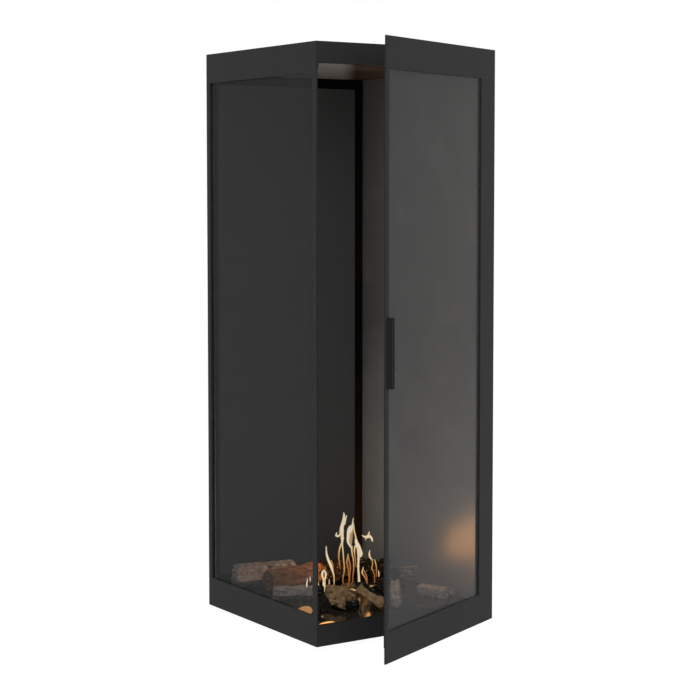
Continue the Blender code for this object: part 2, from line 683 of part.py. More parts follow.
def make_door():
    """The door, drawn closed and then turned open about its hinge axis."""
    band_low = BASE + WINDOW_BAND
    band_high = TOP - WINDOW_BAND
    screw_x = LEFT + SCREW_EDGE
    middle = BASE + BODY_HEIGHT / 2
    screw_levels = (middle - SCREW_SPACING / 2, middle + SCREW_SPACING / 2)
    hole = SCREW_RADIUS + SCREW_PLAY
    outlines = [
        rectangle(LEFT, BASE, RIGHT - DOOR_TRIM, TOP),
        rectangle(LEFT + FREE_STILE, band_low, RIGHT - HINGE_STILE, band_high),
    ]
    outlines += [circle(screw_x, level, hole) for level in screw_levels]
    pieces = [plate("door_frame", outlines, "Y", DOOR_FRONT, DOOR_BACK, STEEL)]

    pane_low = band_low - GLASS_LAP
    pane_high = band_high + GLASS_LAP
    pane = rectangle(DOOR_PANE_LEFT, pane_low, DOOR_PANE_RIGHT, pane_high)
    pieces.append(plate("door_glass", [pane], "Y", PANE_FRONT, PANE_BACK, GLASS_FINISH))

    width = PANE_SEAL_WIDTH
    bed = [
        (DOOR_PANE_LEFT, pane_low),
        (DOOR_PANE_RIGHT, pane_low),
        (DOOR_PANE_RIGHT, pane_high),
        (DOOR_PANE_LEFT, pane_high),
        (DOOR_PANE_LEFT, pane_high - width),
        (DOOR_PANE_RIGHT - width, pane_high - width),
        (DOOR_PANE_RIGHT - width, pane_low + width),
        (DOOR_PANE_LEFT, pane_low + width),
    ]
    bed_back = PANE_BACK + GAP + PANE_SEAL
    pieces.append(plate("door_glass_seal", [bed], "Y", PANE_BACK + GAP, bed_back, SEAL_FINISH))

    lip_front = bed_back + GAP
    lip_back = lip_front + RETAINER_SHEET
    for name, edge, inward in (("bottom", pane_low, 1), ("top", pane_high, -1)):
        angle = retainer_outline(edge - inward * GAP, inward, lip_front, lip_back)
        start = DOOR_PANE_LEFT + RETAINER_SHEET
        end = DOOR_PANE_RIGHT + RETAINER_FOOT
        pieces.append(plate("door_retainer_" + name, [angle], "X", start, end, DARK_STEEL))
    flat = retainer_outline(DOOR_PANE_RIGHT + GAP, -1, lip_front, lip_back)
    upright = [(x, y) for y, x in flat]
    pieces.append(
        plate(
            "door_retainer_hinge_side",
            [upright],
            "Z",
            pane_low + RETAINER_LIP + GAP,
            pane_high - RETAINER_LIP - GAP,
            DARK_STEEL,
        )
    )

    seal_right = JAMB + DOOR_SEAL_WIDTH + SHEET
    level_low = HEARTH - 2 * DOOR_SEAL_WIDTH
    level_high = CEILING + 2 * DOOR_SEAL_WIDTH
    seal_left = LEFT + DOOR_SEAL_EDGE
    ring = [
        rectangle(seal_left, level_low, seal_right, level_high),
        rectangle(
            seal_left + DOOR_SEAL_FREE_WIDTH,
            level_low + DOOR_SEAL_WIDTH,
            seal_right - DOOR_SEAL_WIDTH,
            level_high - DOOR_SEAL_WIDTH,
        ),
    ]
    seal_front = DOOR_BACK + GAP
    pieces.append(plate("door_seal", ring, "Y", seal_front, seal_front + DOOR_SEAL, SEAL_FINISH))

    pieces += make_handle(screw_x, middle, screw_levels)
    pieces += make_knuckles()
    carry(pivot("door_pivot", (HINGE_X, HINGE_Y, BASE), DOOR_OPEN), pieces)


def retainer_outline(edge, inward, lip_front, lip_back):
    """An angle section: a foot on the door plate beside the pane, and a lip over the pane's edge."""
    foot = edge - inward * RETAINER_FOOT
    lip = edge + inward * RETAINER_LIP
    return [
        (PANE_FRONT, edge),
        (PANE_FRONT, foot),
        (lip_back, foot),
        (lip_back, lip),
        (lip_front, lip),
        (lip_front, edge),
    ]


def make_handle(screw_x, middle, screw_levels):
    back = DOOR_FRONT - GAP
    low = (LEFT, back - HANDLE_DEPTH, middle - HANDLE_LENGTH / 2)
    high = (LEFT + HANDLE_WIDTH, back, middle + HANDLE_LENGTH / 2)
    handle = block("door_handle", low, high, HANDLE_FINISH)
    soften(handle, HANDLE_BEVEL)
    groove_x = LEFT + HANDLE_WIDTH / 4
    groove_low = (groove_x, low[1] - OVERRUN, low[2] - OVERRUN)
    groove_high = (groove_x + HANDLE_GROOVE_WIDTH, low[1] + HANDLE_GROOVE_DEPTH, high[2] + OVERRUN)
    cut(handle, block("handle_groove", groove_low, groove_high, HANDLE_FINISH))
    made = [handle]
    shank_end = DOOR_BACK - SCREW_LENGTH
    head_front = DOOR_BACK + GAP
    profile = [
        (0, head_front + SCREW_HEAD),
        (SCREW_HEAD_RADIUS, head_front + SCREW_HEAD),
        (SCREW_HEAD_RADIUS, head_front),
        (SCREW_RADIUS, head_front),
        (SCREW_RADIUS, shank_end),
        (0, shank_end),
    ]
    for place, level in zip(("lower", "upper"), screw_levels):
        bore = plate(
            "handle_bore_" + place,
            [circle(screw_x, level, SCREW_RADIUS + SCREW_PLAY)],
            "Y",
            shank_end - GAP,
            back + OVERRUN,
            HANDLE_FINISH,
        )
        cut(handle, as_mesh(bore))
        shape = [(radius, along - DOOR_BACK) for radius, along in profile]
        screw = turned("handle_screw_" + place, shape, (screw_x, DOOR_BACK, level), DARK_STEEL)
        screw.rotation_euler = (-math.pi / 2, 0, 0)
        made.append(screw)
    return made


def hinge_levels():
    lower = BASE + HINGE_END_DISTANCE
    upper = TOP - HINGE_END_DISTANCE - HINGE_HEIGHT
    return (("lower", lower), ("upper", upper))


def make_knuckles():
    """The barrels on the door, which turn on the pins."""
    made = []
    for place, level in hinge_levels():
        leaf_low = (HINGE_X - LEAF_LEFT, DOOR_BACK + GAP, level)
        leaf_high = (HINGE_X + LEAF_RIGHT, DOOR_BACK + GAP + LEAF, level + HINGE_HEIGHT)
        leaf = block("hinge_knuckle_" + place, leaf_low, leaf_high, DARK_STEEL)
        barrel = circle(HINGE_X, HINGE_Y, KNUCKLE_RADIUS)
        name = "barrel_" + place
        join(leaf, as_mesh(plate(name, [barrel], "Z", level, level + HINGE_HEIGHT, DARK_STEEL)))
        bore = circle(HINGE_X, HINGE_Y, PIN_RADIUS + PIN_PLAY)
        low = level - OVERRUN
        high = level + HINGE_HEIGHT + OVERRUN
        cut(leaf, as_mesh(plate("barrel_bore_" + place, [bore], "Z", low, high, DARK_STEEL)))
        made.append(leaf)
    return made


def make_hinges():
    """The brackets in the pocket and the pins that stand in them."""
    for place, level in hinge_levels():
        top = level - GAP
        base = top - BRACKET
        wall = FRONT + POCKET_DEPTH - GAP
        left = HINGE_X - KNUCKLE_RADIUS
        right = HINGE_X + BRACKET_ARM_RIGHT
        arm = as_mesh(
            plate(
                "hinge_bracket_" + place,
                [circle(HINGE_X, HINGE_Y, KNUCKLE_RADIUS)],
                "Z",
                base,
                top,
                DARK_STEEL,
            )
        )
        join(arm, block("arm_" + place, (left, HINGE_Y, base), (right, wall, top), DARK_STEEL))
        flange_low = (HINGE_X - BRACKET_FLANGE_LEFT, wall - BRACKET, top - BRACKET_FLANGE_HEIGHT)
        flange = block("flange_" + place, flange_low, (right, wall, top), DARK_STEEL)
        join(arm, flange)
        seat = circle(HINGE_X, HINGE_Y, PIN_RADIUS + PIN_SEAT)
        cut(
            arm,
            as_mesh(plate("pin_seat_" + place, [seat], "Z", base - OVERRUN, top + OVERRUN, DARK_STEEL)),
        )
        head_top = base - GAP
        shank_top = HINGE_HEIGHT - GAP
        profile = [
            (0, shank_top),
            (PIN_RADIUS, shank_top),
            (PIN_RADIUS, head_top - level),
            (PIN_HEAD_RADIUS, head_top - level),
            (PIN_HEAD_RADIUS, head_top - PIN_HEAD - level),
            (0, head_top - PIN_HEAD - level),
        ]
        turned("hinge_pin_" + place, profile, (HINGE_X, HINGE_Y, level), STAINLESS)


def log_place(shares, radius):
    """A point of a log's centre line, held high over the hearth."""
    wide = JAMB - RAIL_INNER - 2 * radius
    deep = RAIL_FRONT - HEARTH_FRONT - 2 * radius
    left = RAIL_INNER + radius
    return Vector((left + shares[0] * wide, HEARTH_FRONT + radius + shares[1] * deep, CEILING / 2))


def log_bmesh(number, start, end, radius, taper, flat_share):
    """A rough log from start to end. Its surface is uneven by LOG_ROUGH_SHARE of the radius."""
    axis = end - start
    bm = bmesh.new()
    bmesh.ops.create_cone(
        bm,
        cap_ends=True,
        segments=LOG_SIDES,
        radius1=radius,
        radius2=radius * taper,
        depth=axis.length,
    )
    for i in range(1, LOG_RINGS):
        level = axis.length * (i / LOG_RINGS - 1 / 2)
        everything = bm.verts[:] + bm.edges[:] + bm.faces[:]
        bmesh.ops.bisect_plane(bm, geom=everything, plane_co=(0, 0, level), plane_no=(0, 0, 1))
    seed = Vector((0, 0, number * LOG_RINGS))
    for vert in bm.verts:
        spread = noise.noise(vert.co / radius + seed) * LOG_ROUGH_SHARE * radius
        vert.co += Vector((vert.co.x, vert.co.y, 0)).normalized() * spread
    if flat_share < 1:
        everything = bm.verts[:] + bm.edges[:] + bm.faces[:]
        cut_made = bmesh.ops.bisect_plane(
            bm,
            geom=everything,
            plane_co=(-radius * flat_share, 0, 0),
            plane_no=(-1, 0, 0),
            clear_outer=True,
        )
        edges = [item for item in cut_made["geom_cut"] if isinstance(item, bmesh.types.BMEdge)]
        bmesh.ops.contextual_create(bm, geom=edges)
    bmesh.ops.recalc_face_normals(bm, faces=bm.faces)
    turn = axis.to_track_quat("Z", "X").to_matrix().to_4x4()
    bmesh.ops.transform(bm, matrix=Matrix.Translation((start + end) / 2) @ turn, verts=bm.verts)
    return bm


def sample_points(bm):
    """The corners, edge middles and face middles, where two logs can touch."""
    points = [vert.co.copy() for vert in bm.verts]
    points += [(edge.verts[0].co + edge.verts[1].co) / 2 for edge in bm.edges]
    points += [face.calc_center_median() for face in bm.faces]
    return points


def drop_height(bm, below):
    """How far a log can come down before it reaches the hearth or what is placed already."""
    points = sample_points(bm)
    free = min(point.z for point in points) - HEARTH
    tree = BVHTree.FromBMesh(bm)
    down = Vector((0, 0, -1))
    for other_tree, other_points in below:
        for point in points:
            hit = other_tree.ray_cast(point, down)
            if hit[3] is not None:
                free = min(free, hit[3])
        for point in other_points:
            hit = tree.ray_cast(point, -down)
            if hit[3] is not None:
                free = min(free, hit[3])
    return free - LOG_CLEARANCE


def burner_surfaces():
    """The cover, and the shutter with its guides: a log lies on the one and stays clear over the other."""
    ends = TANK_LENGTH / 2 + COVER_END
    back = BURNER_Y + TANK_WIDTH / 2 + COVER_REAR
    front = BURNER_Y - TANK_WIDTH / 2 - COVER_FRONT
    guides = SHUTTER_LENGTH / 2 + GAP + GUIDE_FOOT
    lip_top = SHUTTER_TOP + GUIDE_PLAY + WALL_SHEET
    placed = []
    for half, start, top in (
        (ends, front, COVER_BASE + WALL_SHEET),
        (guides, SHUTTER_FRONT - SHUTTER_STROKE, lip_top),
    ):
        bm = box_bmesh((BURNER_X - half, start, HEARTH), (BURNER_X + half, back, top))
        bmesh.ops.subdivide_edges(bm, edges=bm.edges, cuts=LOG_SIDES, use_grid_fill=True)
        placed.append((BVHTree.FromBMesh(bm), sample_points(bm)))
        bm.free()
    return placed


def make_logs():
    """Each log is lowered onto what lies there already, in the order of the table."""
    below = burner_surfaces()
    for number, (name, shares) in enumerate(LOG_SHARES.items()):
        first, second, size, rise, taper, flat_share, finish = shares
        radius = LOG_RADIUS * size
        start = log_place(first, radius)
        end = log_place(second, radius) + Vector((0, 0, radius * rise))
        bm = log_bmesh(number, start, end, radius, taper, flat_share)
        bmesh.ops.translate(bm, vec=(0, 0, -drop_height(bm, below)), verts=bm.verts)
        below.append((BVHTree.FromBMesh(bm), sample_points(bm)))
        log = add_mesh(name, bm, LOG_FINISHES[finish])
        log.data.shade_smooth()
        log.data.set_sharp_from_angle(angle=math.pi / 4)


clear_scene()
PARTS = collection("bioethanol_corner_fireplace")
CUTTERS = collection("cutters")

STEEL = material("black_powder_coated_steel", "353535", 0.55, 0.2)
DARK_STEEL = material("dark_steel", "2a2a2a", 0.5, 0.4)
HANDLE_FINISH = material("anodised_black_bar", "1c1c1d", 0.45, 0.5)
FIREBOX = material("satin_black_firebox_steel", "37342f", 0.35, 0.6)
GLOSS_BLACK = material("glossy_black_steel", "262422", 0.15, 0.6)
LINER_FINISH = material("black_ceramic_glass", "292929", 0.1)
GLASS_FINISH = material("clear_heat_proof_glass", "e8eeec", 0.02, 0.0, 0.95)
SEAL_FINISH = material("black_graphite_gasket", "1a1a1a", 0.9)
STAINLESS = material("stainless_steel", "8c8a86", 0.3, 0.9)
WOOL = material("ceramic_wool", "d8d4cc", 0.95)
LOG_FINISHES = {
    "bark": material("ceramic_log_bark", "5a4436", 0.9),
    "wood": material("ceramic_log_split", "8a7560", 0.85),
    "char": material("ceramic_log_charred", "2b2a28", 0.95),
}

make_casings()
make_front()
make_side_glazing()
make_firebox()
make_liner()
make_hearth()
make_burner()
make_shutter()
make_hinges()
make_door()
make_logs()
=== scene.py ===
# %% [markdown]
# # Bioethanol corner fireplace: the finishes, the logs and the fire
#
# The real fireplace is a slim cabinet of black powder-coated steel with a glazed left side and a glazed door.
# Its sheet metal, glass, hinges and burner are already modelled as solids, so this script loads them as a
# fixed frame and gives them their finishes. It models the ceramic logs and the flames anew, because those
# need a fine surface that the plain solids don't have.

# %% Load the solids
import json
import math

import bmesh
import bpy
import numpy as np
from mathutils import Matrix, Vector, noise


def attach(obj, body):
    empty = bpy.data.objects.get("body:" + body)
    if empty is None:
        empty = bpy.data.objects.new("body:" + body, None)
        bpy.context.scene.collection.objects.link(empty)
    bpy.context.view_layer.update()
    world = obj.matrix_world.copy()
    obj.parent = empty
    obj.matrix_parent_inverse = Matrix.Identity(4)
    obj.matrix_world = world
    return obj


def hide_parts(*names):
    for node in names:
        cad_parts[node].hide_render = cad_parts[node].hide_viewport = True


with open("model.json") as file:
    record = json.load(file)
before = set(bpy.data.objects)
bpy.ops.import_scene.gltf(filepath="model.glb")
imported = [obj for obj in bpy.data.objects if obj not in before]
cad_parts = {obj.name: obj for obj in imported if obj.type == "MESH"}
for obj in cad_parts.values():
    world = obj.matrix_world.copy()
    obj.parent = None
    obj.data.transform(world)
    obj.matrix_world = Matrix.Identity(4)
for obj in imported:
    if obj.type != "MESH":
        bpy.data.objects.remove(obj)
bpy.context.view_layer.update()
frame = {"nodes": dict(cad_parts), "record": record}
NODES = frame["nodes"]
MM = 0.001

# %% [markdown]
# ## Camera
#
# The camera stands a few metres off and nearly level, so that upright edges stay upright. In Blender the
# picture can be lowered onto the cabinet by tilting the camera, by shifting its lens, or by some of each. A
# small shift with a small tilt is used here, because other views of the model keep the shift and are framed
# best with little.

# %% Place the camera
IMAGE_WIDTH = 700
SENSOR_WIDTH = 36
FOCAL_PIXELS = 1774.9
CAMERA_PLACE = (-2.366, -3.584, 1.046)
CAMERA_YAW = math.radians(33.49)
CAMERA_PITCH = math.radians(3.85)
CAMERA_SHIFT = -0.06

camera_data = bpy.data.cameras.new("camera")
camera_data.sensor_width = SENSOR_WIDTH
camera_data.lens = SENSOR_WIDTH * FOCAL_PIXELS / IMAGE_WIDTH
camera_data.shift_y = CAMERA_SHIFT
camera = bpy.data.objects.new("camera", camera_data)
camera.location = CAMERA_PLACE
camera.rotation_euler = (math.pi / 2 - CAMERA_PITCH, 0, -CAMERA_YAW)
bpy.context.scene.collection.objects.link(camera)
bpy.context.scene.camera = camera
print("lens:", round(camera_data.lens, 1), "mm, at", CAMERA_PLACE)

# %% [markdown]
# ## Helpers for materials
#
# Colours are written as sRGB hex values, as a paint maker gives them, while Blender's shaders work in linear
# light. One function converts them. A second one adds a shader node with its settings and its links, a third
# starts a material with plain values, and the last joins a node to its shader, so that a whole material reads
# as a short list of steps.


# %% Helpers for colours and nodes
def linear(hex_colour):
    """The linear red, green, blue and alpha of an sRGB hex colour."""
    shares = [int(hex_colour[i : i + 2], 16) / 255 for i in (0, 2, 4)]
    return [s / 12.92 if s <= 0.04045 else ((s + 0.055) / 1.055) ** 2.4 for s in shares] + [1.0]


def add(tree, kind, inputs=None, **settings):
    """Adds a shader node. An input takes a value, or another node's output, which is linked to it."""
    made = tree.nodes.new("ShaderNode" + kind)
    for name, value in settings.items():
        setattr(made, name, value)
    for name, value in (inputs or {}).items():
        if isinstance(value, bpy.types.NodeSocket):
            tree.links.new(value, made.inputs[name])
        else:
            made.inputs[name].default_value = value
    return made


def finish(name, **sockets):
    """A new material with these values on its Principled shader, and its node tree and shader."""
    made = bpy.data.materials.new(name)
    made.use_nodes = True
    shader = made.node_tree.nodes["Principled BSDF"]
    for socket, value in sockets.items():
        shader.inputs[socket.replace("_", " ")].default_value = value
    return made, made.node_tree, shader


def link(tree, output, shader, socket):
    """Joins a node's output to one of the shader's sockets."""
    tree.links.new(output, shader.inputs[socket])


print("white in linear light:", linear("ffffff"))


# %% [markdown]
# ## Light and surroundings
#
# The fireplace stands in a white studio. A bright world makes the background white and gives the paint and
# the glass something pale to mirror, but the same brightness would wash out the colours. Light Path tells the
# rays apart: what the camera, a mirror or a pane sees is white, and what lights the surfaces is a plainer
# level.

# %% Make the world
WORLD_LIGHT = 0.75


def seen_directly(tree):
    """1 for rays that see a surface from the camera, in a reflection or through glass."""
    path = add(tree, "LightPath").outputs
    seen = add(tree, "Math", {0: path["Is Camera Ray"], 1: path["Is Glossy Ray"]}, operation="MAXIMUM")
    seen = add(tree, "Math", {0: seen.outputs[0], 1: path["Is Transmission Ray"]}, operation="MAXIMUM")
    return seen.outputs[0]


world = bpy.data.worlds.new("white_studio")
bpy.context.scene.world = world
world.use_nodes = True
tree = world.node_tree
lighting = tree.nodes["Background"]
lighting.inputs["Color"].default_value = (1, 1, 1, 1)
lighting.inputs["Strength"].default_value = WORLD_LIGHT
backdrop = add(tree, "Background", {"Color": (1, 1, 1, 1), "Strength": 1.0})
choice = add(tree, "MixShader", {0: seen_directly(tree), 1: lighting.outputs[0], 2: backdrop.outputs[0]})
tree.links.new(choice.outputs[0], tree.nodes["World Output"].inputs["Surface"])
bpy.context.scene.view_settings.view_transform = "Standard"
print("world light on the surfaces:", WORLD_LIGHT)

# %% [markdown]
# The floor is a plain pale sheet. It glows white where it is seen, as an evenly lit studio floor does, and a
# part of it stays ordinary matt white, which takes the soft shadow under the cabinet.

# %% Make the floor
FLOOR_SIZE = 60.0
FLOOR_GLOW_SHARE = 0.93
FLOOR_GLOW = 1.05

bm = bmesh.new()
bmesh.ops.create_grid(bm, x_segments=1, y_segments=1, size=FLOOR_SIZE / 2)
mesh = bpy.data.meshes.new("studio_floor")
bm.to_mesh(mesh)
bm.free()
floor = bpy.data.objects.new("studio_floor", mesh)
bpy.context.scene.collection.objects.link(floor)

paper, tree, shader = finish("white_studio_floor", Base_Color=linear("f4f4f4"), Roughness=0.9)
glow = add(tree, "Emission", {"Color": (1, 1, 1, 1), "Strength": FLOOR_GLOW})
share = add(tree, "Math", {0: seen_directly(tree), 1: FLOOR_GLOW_SHARE}, operation="MULTIPLY")
mixed = add(tree, "MixShader", {0: share.outputs[0], 1: shader.outputs[0], 2: glow.outputs[0]})
tree.links.new(mixed.outputs[0], tree.nodes["Material Output"].inputs["Surface"])
mesh.materials.append(paper)
print("floor:", FLOOR_SIZE, "m wide")

# %% [markdown]
# Two wide soft lamps stand for the studio's light boxes, one at each side of the camera. They are large, so
# that the sheet steel is lit evenly and shows no hot spot.

# %% Place the lamps
LAMPS = {
    "left_softbox": ((-4.0, -1.5, 2.6), 2.6, 4.0),
    "front_softbox": ((-1.5, -4.2, 2.4), 2.6, 50.0),
}
AIM = Vector((0, 0, 0.7))

for name, (place, size, power) in LAMPS.items():
    lamp_data = bpy.data.lights.new(name, "AREA")
    lamp_data.size = size
    lamp_data.energy = power
    lamp = bpy.data.objects.new(name, lamp_data)
    lamp.location = place
    lamp.rotation_euler = (AIM - Vector(place)).to_track_quat("-Z", "Y").to_euler()
    lamp.visible_glossy = False
    bpy.context.scene.collection.objects.link(lamp)
    print(name, power, "W,", size, "m wide")

# %% [markdown]
# ## Black powder-coated steel
#
# The casing, the frames and the door are sheet steel with a baked black powder coat. The powder melts into a
# skin with a faint orange-peel texture and a satin sheen, so it mirrors the room very softly. It could be one
# flat dark grey, but the real coat shows fine dimples and slight differences in sheen, which a noise gives to
# the bump and to the roughness. The dimples are about 1 mm wide on the real coat. They are drawn at 2 mm.
#
# The window's profiles and the door's grip bar are made by the same steps in other tones. The bar is anodised
# aluminium, which has no orange peel, but so faint a one can't be seen on so small a piece.

# %% Powder coat
PEEL_SIZE = 2 * MM
PEEL_DEPTH = 0.1 * MM
CLOUD_SIZE = 90 * MM
SHEEN_DRIFT = 0.05


def powder_coat(name, hex_colour, roughness, specular, peel_strength=0.05):
    made, tree, shader = finish(name, Base_Color=linear(hex_colour), Specular_IOR_Level=specular)
    place = add(tree, "TexCoord").outputs["Object"]
    peel = add(tree, "TexNoise", {"Vector": place, "Scale": 1 / PEEL_SIZE, "Detail": 2.0}).outputs["Fac"]
    bump = add(tree, "Bump", {"Height": peel, "Strength": peel_strength, "Distance": PEEL_DEPTH})
    link(tree, bump.outputs["Normal"], shader, "Normal")
    clouds = add(tree, "TexNoise", {"Vector": place, "Scale": 1 / CLOUD_SIZE, "Detail": 4.0}).outputs["Fac"]
    spread = {"Value": clouds, "To Min": roughness - SHEEN_DRIFT, "To Max": roughness + SHEEN_DRIFT}
    link(tree, add(tree, "MapRange", spread).outputs["Result"], shader, "Roughness")
    return made


POWDER_COAT = powder_coat("black_powder_coated_steel", "2d2d2d", roughness=0.5, specular=0.055)
DARK_STEEL = powder_coat("blackened_steel_profile", "262626", roughness=0.45, specular=0.1)
BAR = powder_coat("black_anodised_aluminium", "121212", roughness=0.35, specular=0.12)
print("coats:", POWDER_COAT.name, DARK_STEEL.name, BAR.name)

# %% [markdown]
# ## The firebox: steel with painted light, gloss enamel and the liner
#
# The right wall is satin black steel that mirrors the fire as a soft glow. Its tint is paler near the flames
# than high up, which is painted light of the fire. The ceiling is paler near the window, which is painted
# light from the opening, and brown away from it, which is painted warm light of the fire. The strip of rear
# wall beside the liner and the rear rail of the left pane are bronze low down, which is painted firelight.
# One flat colour would miss that. Here a tint is worked out from the distance along a direction, and soft
# clouds blur it and the sheen.

# %% Steel with painted light
WALL_CLOUD_SIZE = 160 * MM
UPWARDS = (0, 0, 1)
AWAY_FROM_WINDOW = (0.83, -0.55, 0)


def steel_with_painted_light(name, near, far, reach, metallic, specular, rough, along=UPWARDS):
    """Steel whose tint of painted light goes from near to far between two distances, in mm, along a
    direction.
    """
    made, tree, shader = finish(name, Metallic=metallic, Specular_IOR_Level=specular)
    place = add(tree, "TexCoord").outputs["Object"]
    away = add(tree, "VectorMath", {0: place, 1: along}, operation="DOT_PRODUCT").outputs["Value"]
    # Here heat is the share of the way from the near tint, which carries the painted light, to the far one.
    heat = add(tree, "MapRange", {"Value": away, "From Min": reach[0] * MM, "From Max": reach[1] * MM})
    soft = {"Vector": place, "Scale": 1 / WALL_CLOUD_SIZE, "Detail": 3.0}
    clouds = add(tree, "TexNoise", soft).outputs["Fac"]
    shade = add(tree, "Math", {0: heat.outputs[0], 1: clouds})
    shade = add(tree, "Math", {0: shade.outputs[0], 1: 0.5}, operation="SUBTRACT")
    tint = add(tree, "Mix", {0: shade.outputs[0], 6: linear(near), 7: linear(far)}, data_type="RGBA")
    link(tree, tint.outputs[2], shader, "Base Color")
    spread = {"Value": clouds, "To Min": rough - SHEEN_DRIFT, "To Max": rough + SHEEN_DRIFT}
    link(tree, add(tree, "MapRange", spread).outputs["Result"], shader, "Roughness")
    return made


# The wall's paler tint low down is painted light of the fire.
SATIN_STEEL = steel_with_painted_light(
    "satin_black_firebox_steel", "fff8f0", "a8a29c", reach=(200, 700), metallic=0.6, specular=0.5, rough=0.31
)
# The ceiling's pale tint by the window is painted light from the opening, and its brown is painted firelight.
CEILING_STEEL = steel_with_painted_light(
    "ceiling_steel_painted_light",
    "e8dccf",
    "6e5238",
    reach=(-15, 20),
    metallic=0.4,
    specular=0.5,
    rough=0.35,
    along=AWAY_FROM_WINDOW,
)
# The rear strip's brown low down is painted firelight; higher up it is plain black steel.
REAR_STRIP_PAINTED_FIRELIGHT = steel_with_painted_light(
    "black_steel_painted_firelight", "34220e", "060504", reach=(150, 420), metallic=0.0, specular=0.1, rough=0.6
)
# The rear rail's orange tint low down is painted firelight.
REAR_RAIL_PAINTED_FIRELIGHT = steel_with_painted_light(
    "rail_steel_painted_firelight", "ffb060", "4a4038", reach=(250, 600), metallic=0.0, specular=0.5, rough=0.4
)
# Each of these four steels carries painted light in its tint.
print("tempered:", SATIN_STEEL.name, CEILING_STEEL.name, REAR_STRIP_PAINTED_FIRELIGHT.name, REAR_RAIL_PAINTED_FIRELIGHT.name)

# %% [markdown]
# The hearth is sheet steel with a gloss enamel, so the fire stands on its own reflection. Enamel is a coat of
# melted glass: very smooth, with a film of dust that dulls it in patches, which a noise gives to the
# roughness. The liner behind the fire is a matt board of heat-proof fibre. It has no orange peel, so its bump
# is off.

# %% Gloss enamel and liner
GLOSS_RANGE = (0.06, 0.16)


def gloss_enamel(name, hex_colour):
    made, tree, shader = finish(name, Base_Color=linear(hex_colour), Specular_IOR_Level=0.6)
    place = add(tree, "TexCoord").outputs["Object"]
    dust = add(tree, "TexNoise", {"Vector": place, "Scale": 1 / CLOUD_SIZE, "Detail": 5.0}).outputs["Fac"]
    rough = add(tree, "MapRange", {"Value": dust, "To Min": GLOSS_RANGE[0], "To Max": GLOSS_RANGE[1]})
    link(tree, rough.outputs["Result"], shader, "Roughness")
    return made


GLOSS_STEEL = gloss_enamel("gloss_black_enamelled_steel", "38332c")
LINER = powder_coat("matt_black_liner_board", "4c4c4c", roughness=0.6, specular=0.2, peel_strength=0.0)
print("hearth and liner:", GLOSS_STEEL.name, LINER.name)

# %% [markdown]
# ## Glass
#
# The panes are grey-tinted ceramic glass, which stands the heat. A real pane bends light, but a flat pane
# shows hardly any of that, and bent rays would make the fire behind it grainy. So the glass is a film: its
# alpha lets more than half of the view through each face, and the rest is the grey tint with its own gloss.
# The grey of the film, lit by the lamps, is partly the glass's tint and partly a painted reflection of the
# pale room. The door's pane is paler, with more of that painted reflection.

# %% Glass
def pane(name, hex_colour, gloss, tint):
    return finish(
        name, Base_Color=linear(hex_colour), Roughness=0.03, IOR=1.5, Alpha=tint, Specular_IOR_Level=gloss
    )[0]


SIDE_PANE = pane("grey_tinted_ceramic_glass", "343434", gloss=0.05, tint=0.42)
# The door's paler, more solid film is a painted reflection of the pale room.
DOOR_PANE = pane("grey_tinted_ceramic_glass_painted_reflection", "4c4c4c", gloss=0.1, tint=0.45)
print("glass:", SIDE_PANE.name, DOOR_PANE.name)

# %% [markdown]
# ## Gasket, stainless steel and ceramic wool
#
# A graphite rope or strip seals the panes and the door, and its weave is about 1 mm wide. The burner is
# brushed stainless steel: the brush leaves fine lines along the sheet, so its noise is stretched 40 mm one
# way and 0.8 mm the other, and it changes the roughness. Ceramic wool is a felt of white fibres, which a
# distorted noise draws.

# %% Gasket
WEAVE_SIZE = 1.2 * MM
WEAVE_DEPTH = 0.3 * MM


def gasket():
    made, tree, shader = finish("graphite_rope_gasket", Base_Color=linear("161616"), Roughness=0.9)
    place = add(tree, "TexCoord").outputs["Object"]
    weave = add(tree, "TexNoise", {"Vector": place, "Scale": 1 / WEAVE_SIZE, "Detail": 2.0}).outputs["Fac"]
    bump = add(tree, "Bump", {"Height": weave, "Strength": 0.6, "Distance": WEAVE_DEPTH})
    link(tree, bump.outputs["Normal"], shader, "Normal")
    return made


# %% Stainless steel
BRUSH_RUN = 40 * MM
BRUSH_LINE = 0.8 * MM
BRUSHED_RANGE = (0.22, 0.42)


def stainless():
    made, tree, shader = finish("brushed_stainless_steel", Base_Color=linear("8f8c88"), Metallic=1.0)
    place = add(tree, "TexCoord").outputs["Object"]
    run = add(tree, "Mapping", {"Vector": place, "Scale": (1 / BRUSH_RUN, 1 / BRUSH_LINE, 1 / BRUSH_LINE)})
    lines = add(tree, "TexNoise", {"Vector": run.outputs[0], "Scale": 1.0, "Detail": 2.0}).outputs["Fac"]
    rough = add(tree, "MapRange", {"Value": lines, "To Min": BRUSHED_RANGE[0], "To Max": BRUSHED_RANGE[1]})
    link(tree, rough.outputs["Result"], shader, "Roughness")
    return made


# %% Ceramic wool
FELT_SIZE = 3 * MM
FELT_DEPTH = 1.5 * MM


def ceramic_wool():
    made, tree, shader = finish("ceramic_wool", Base_Color=linear("cfc9bf"), Roughness=0.95)
    place = add(tree, "TexCoord").outputs["Object"]
    felt = {"Vector": place, "Scale": 1 / FELT_SIZE, "Detail": 6.0, "Distortion": 2.0}
    fibres = add(tree, "TexNoise", felt).outputs["Fac"]
    bump = add(tree, "Bump", {"Height": fibres, "Strength": 0.9, "Distance": FELT_DEPTH})
    link(tree, bump.outputs["Normal"], shader, "Normal")
    return made


# %% [markdown]
# ## Putting the finishes on
#
# Each solid names the slot that its material goes in. A table says which finish fills each slot, and four
# pieces get their own: three steel pieces with painted light in their tints, and the door's pane with more
# painted reflection. The logs' slots are missing from the table, because the logs are modelled anew.

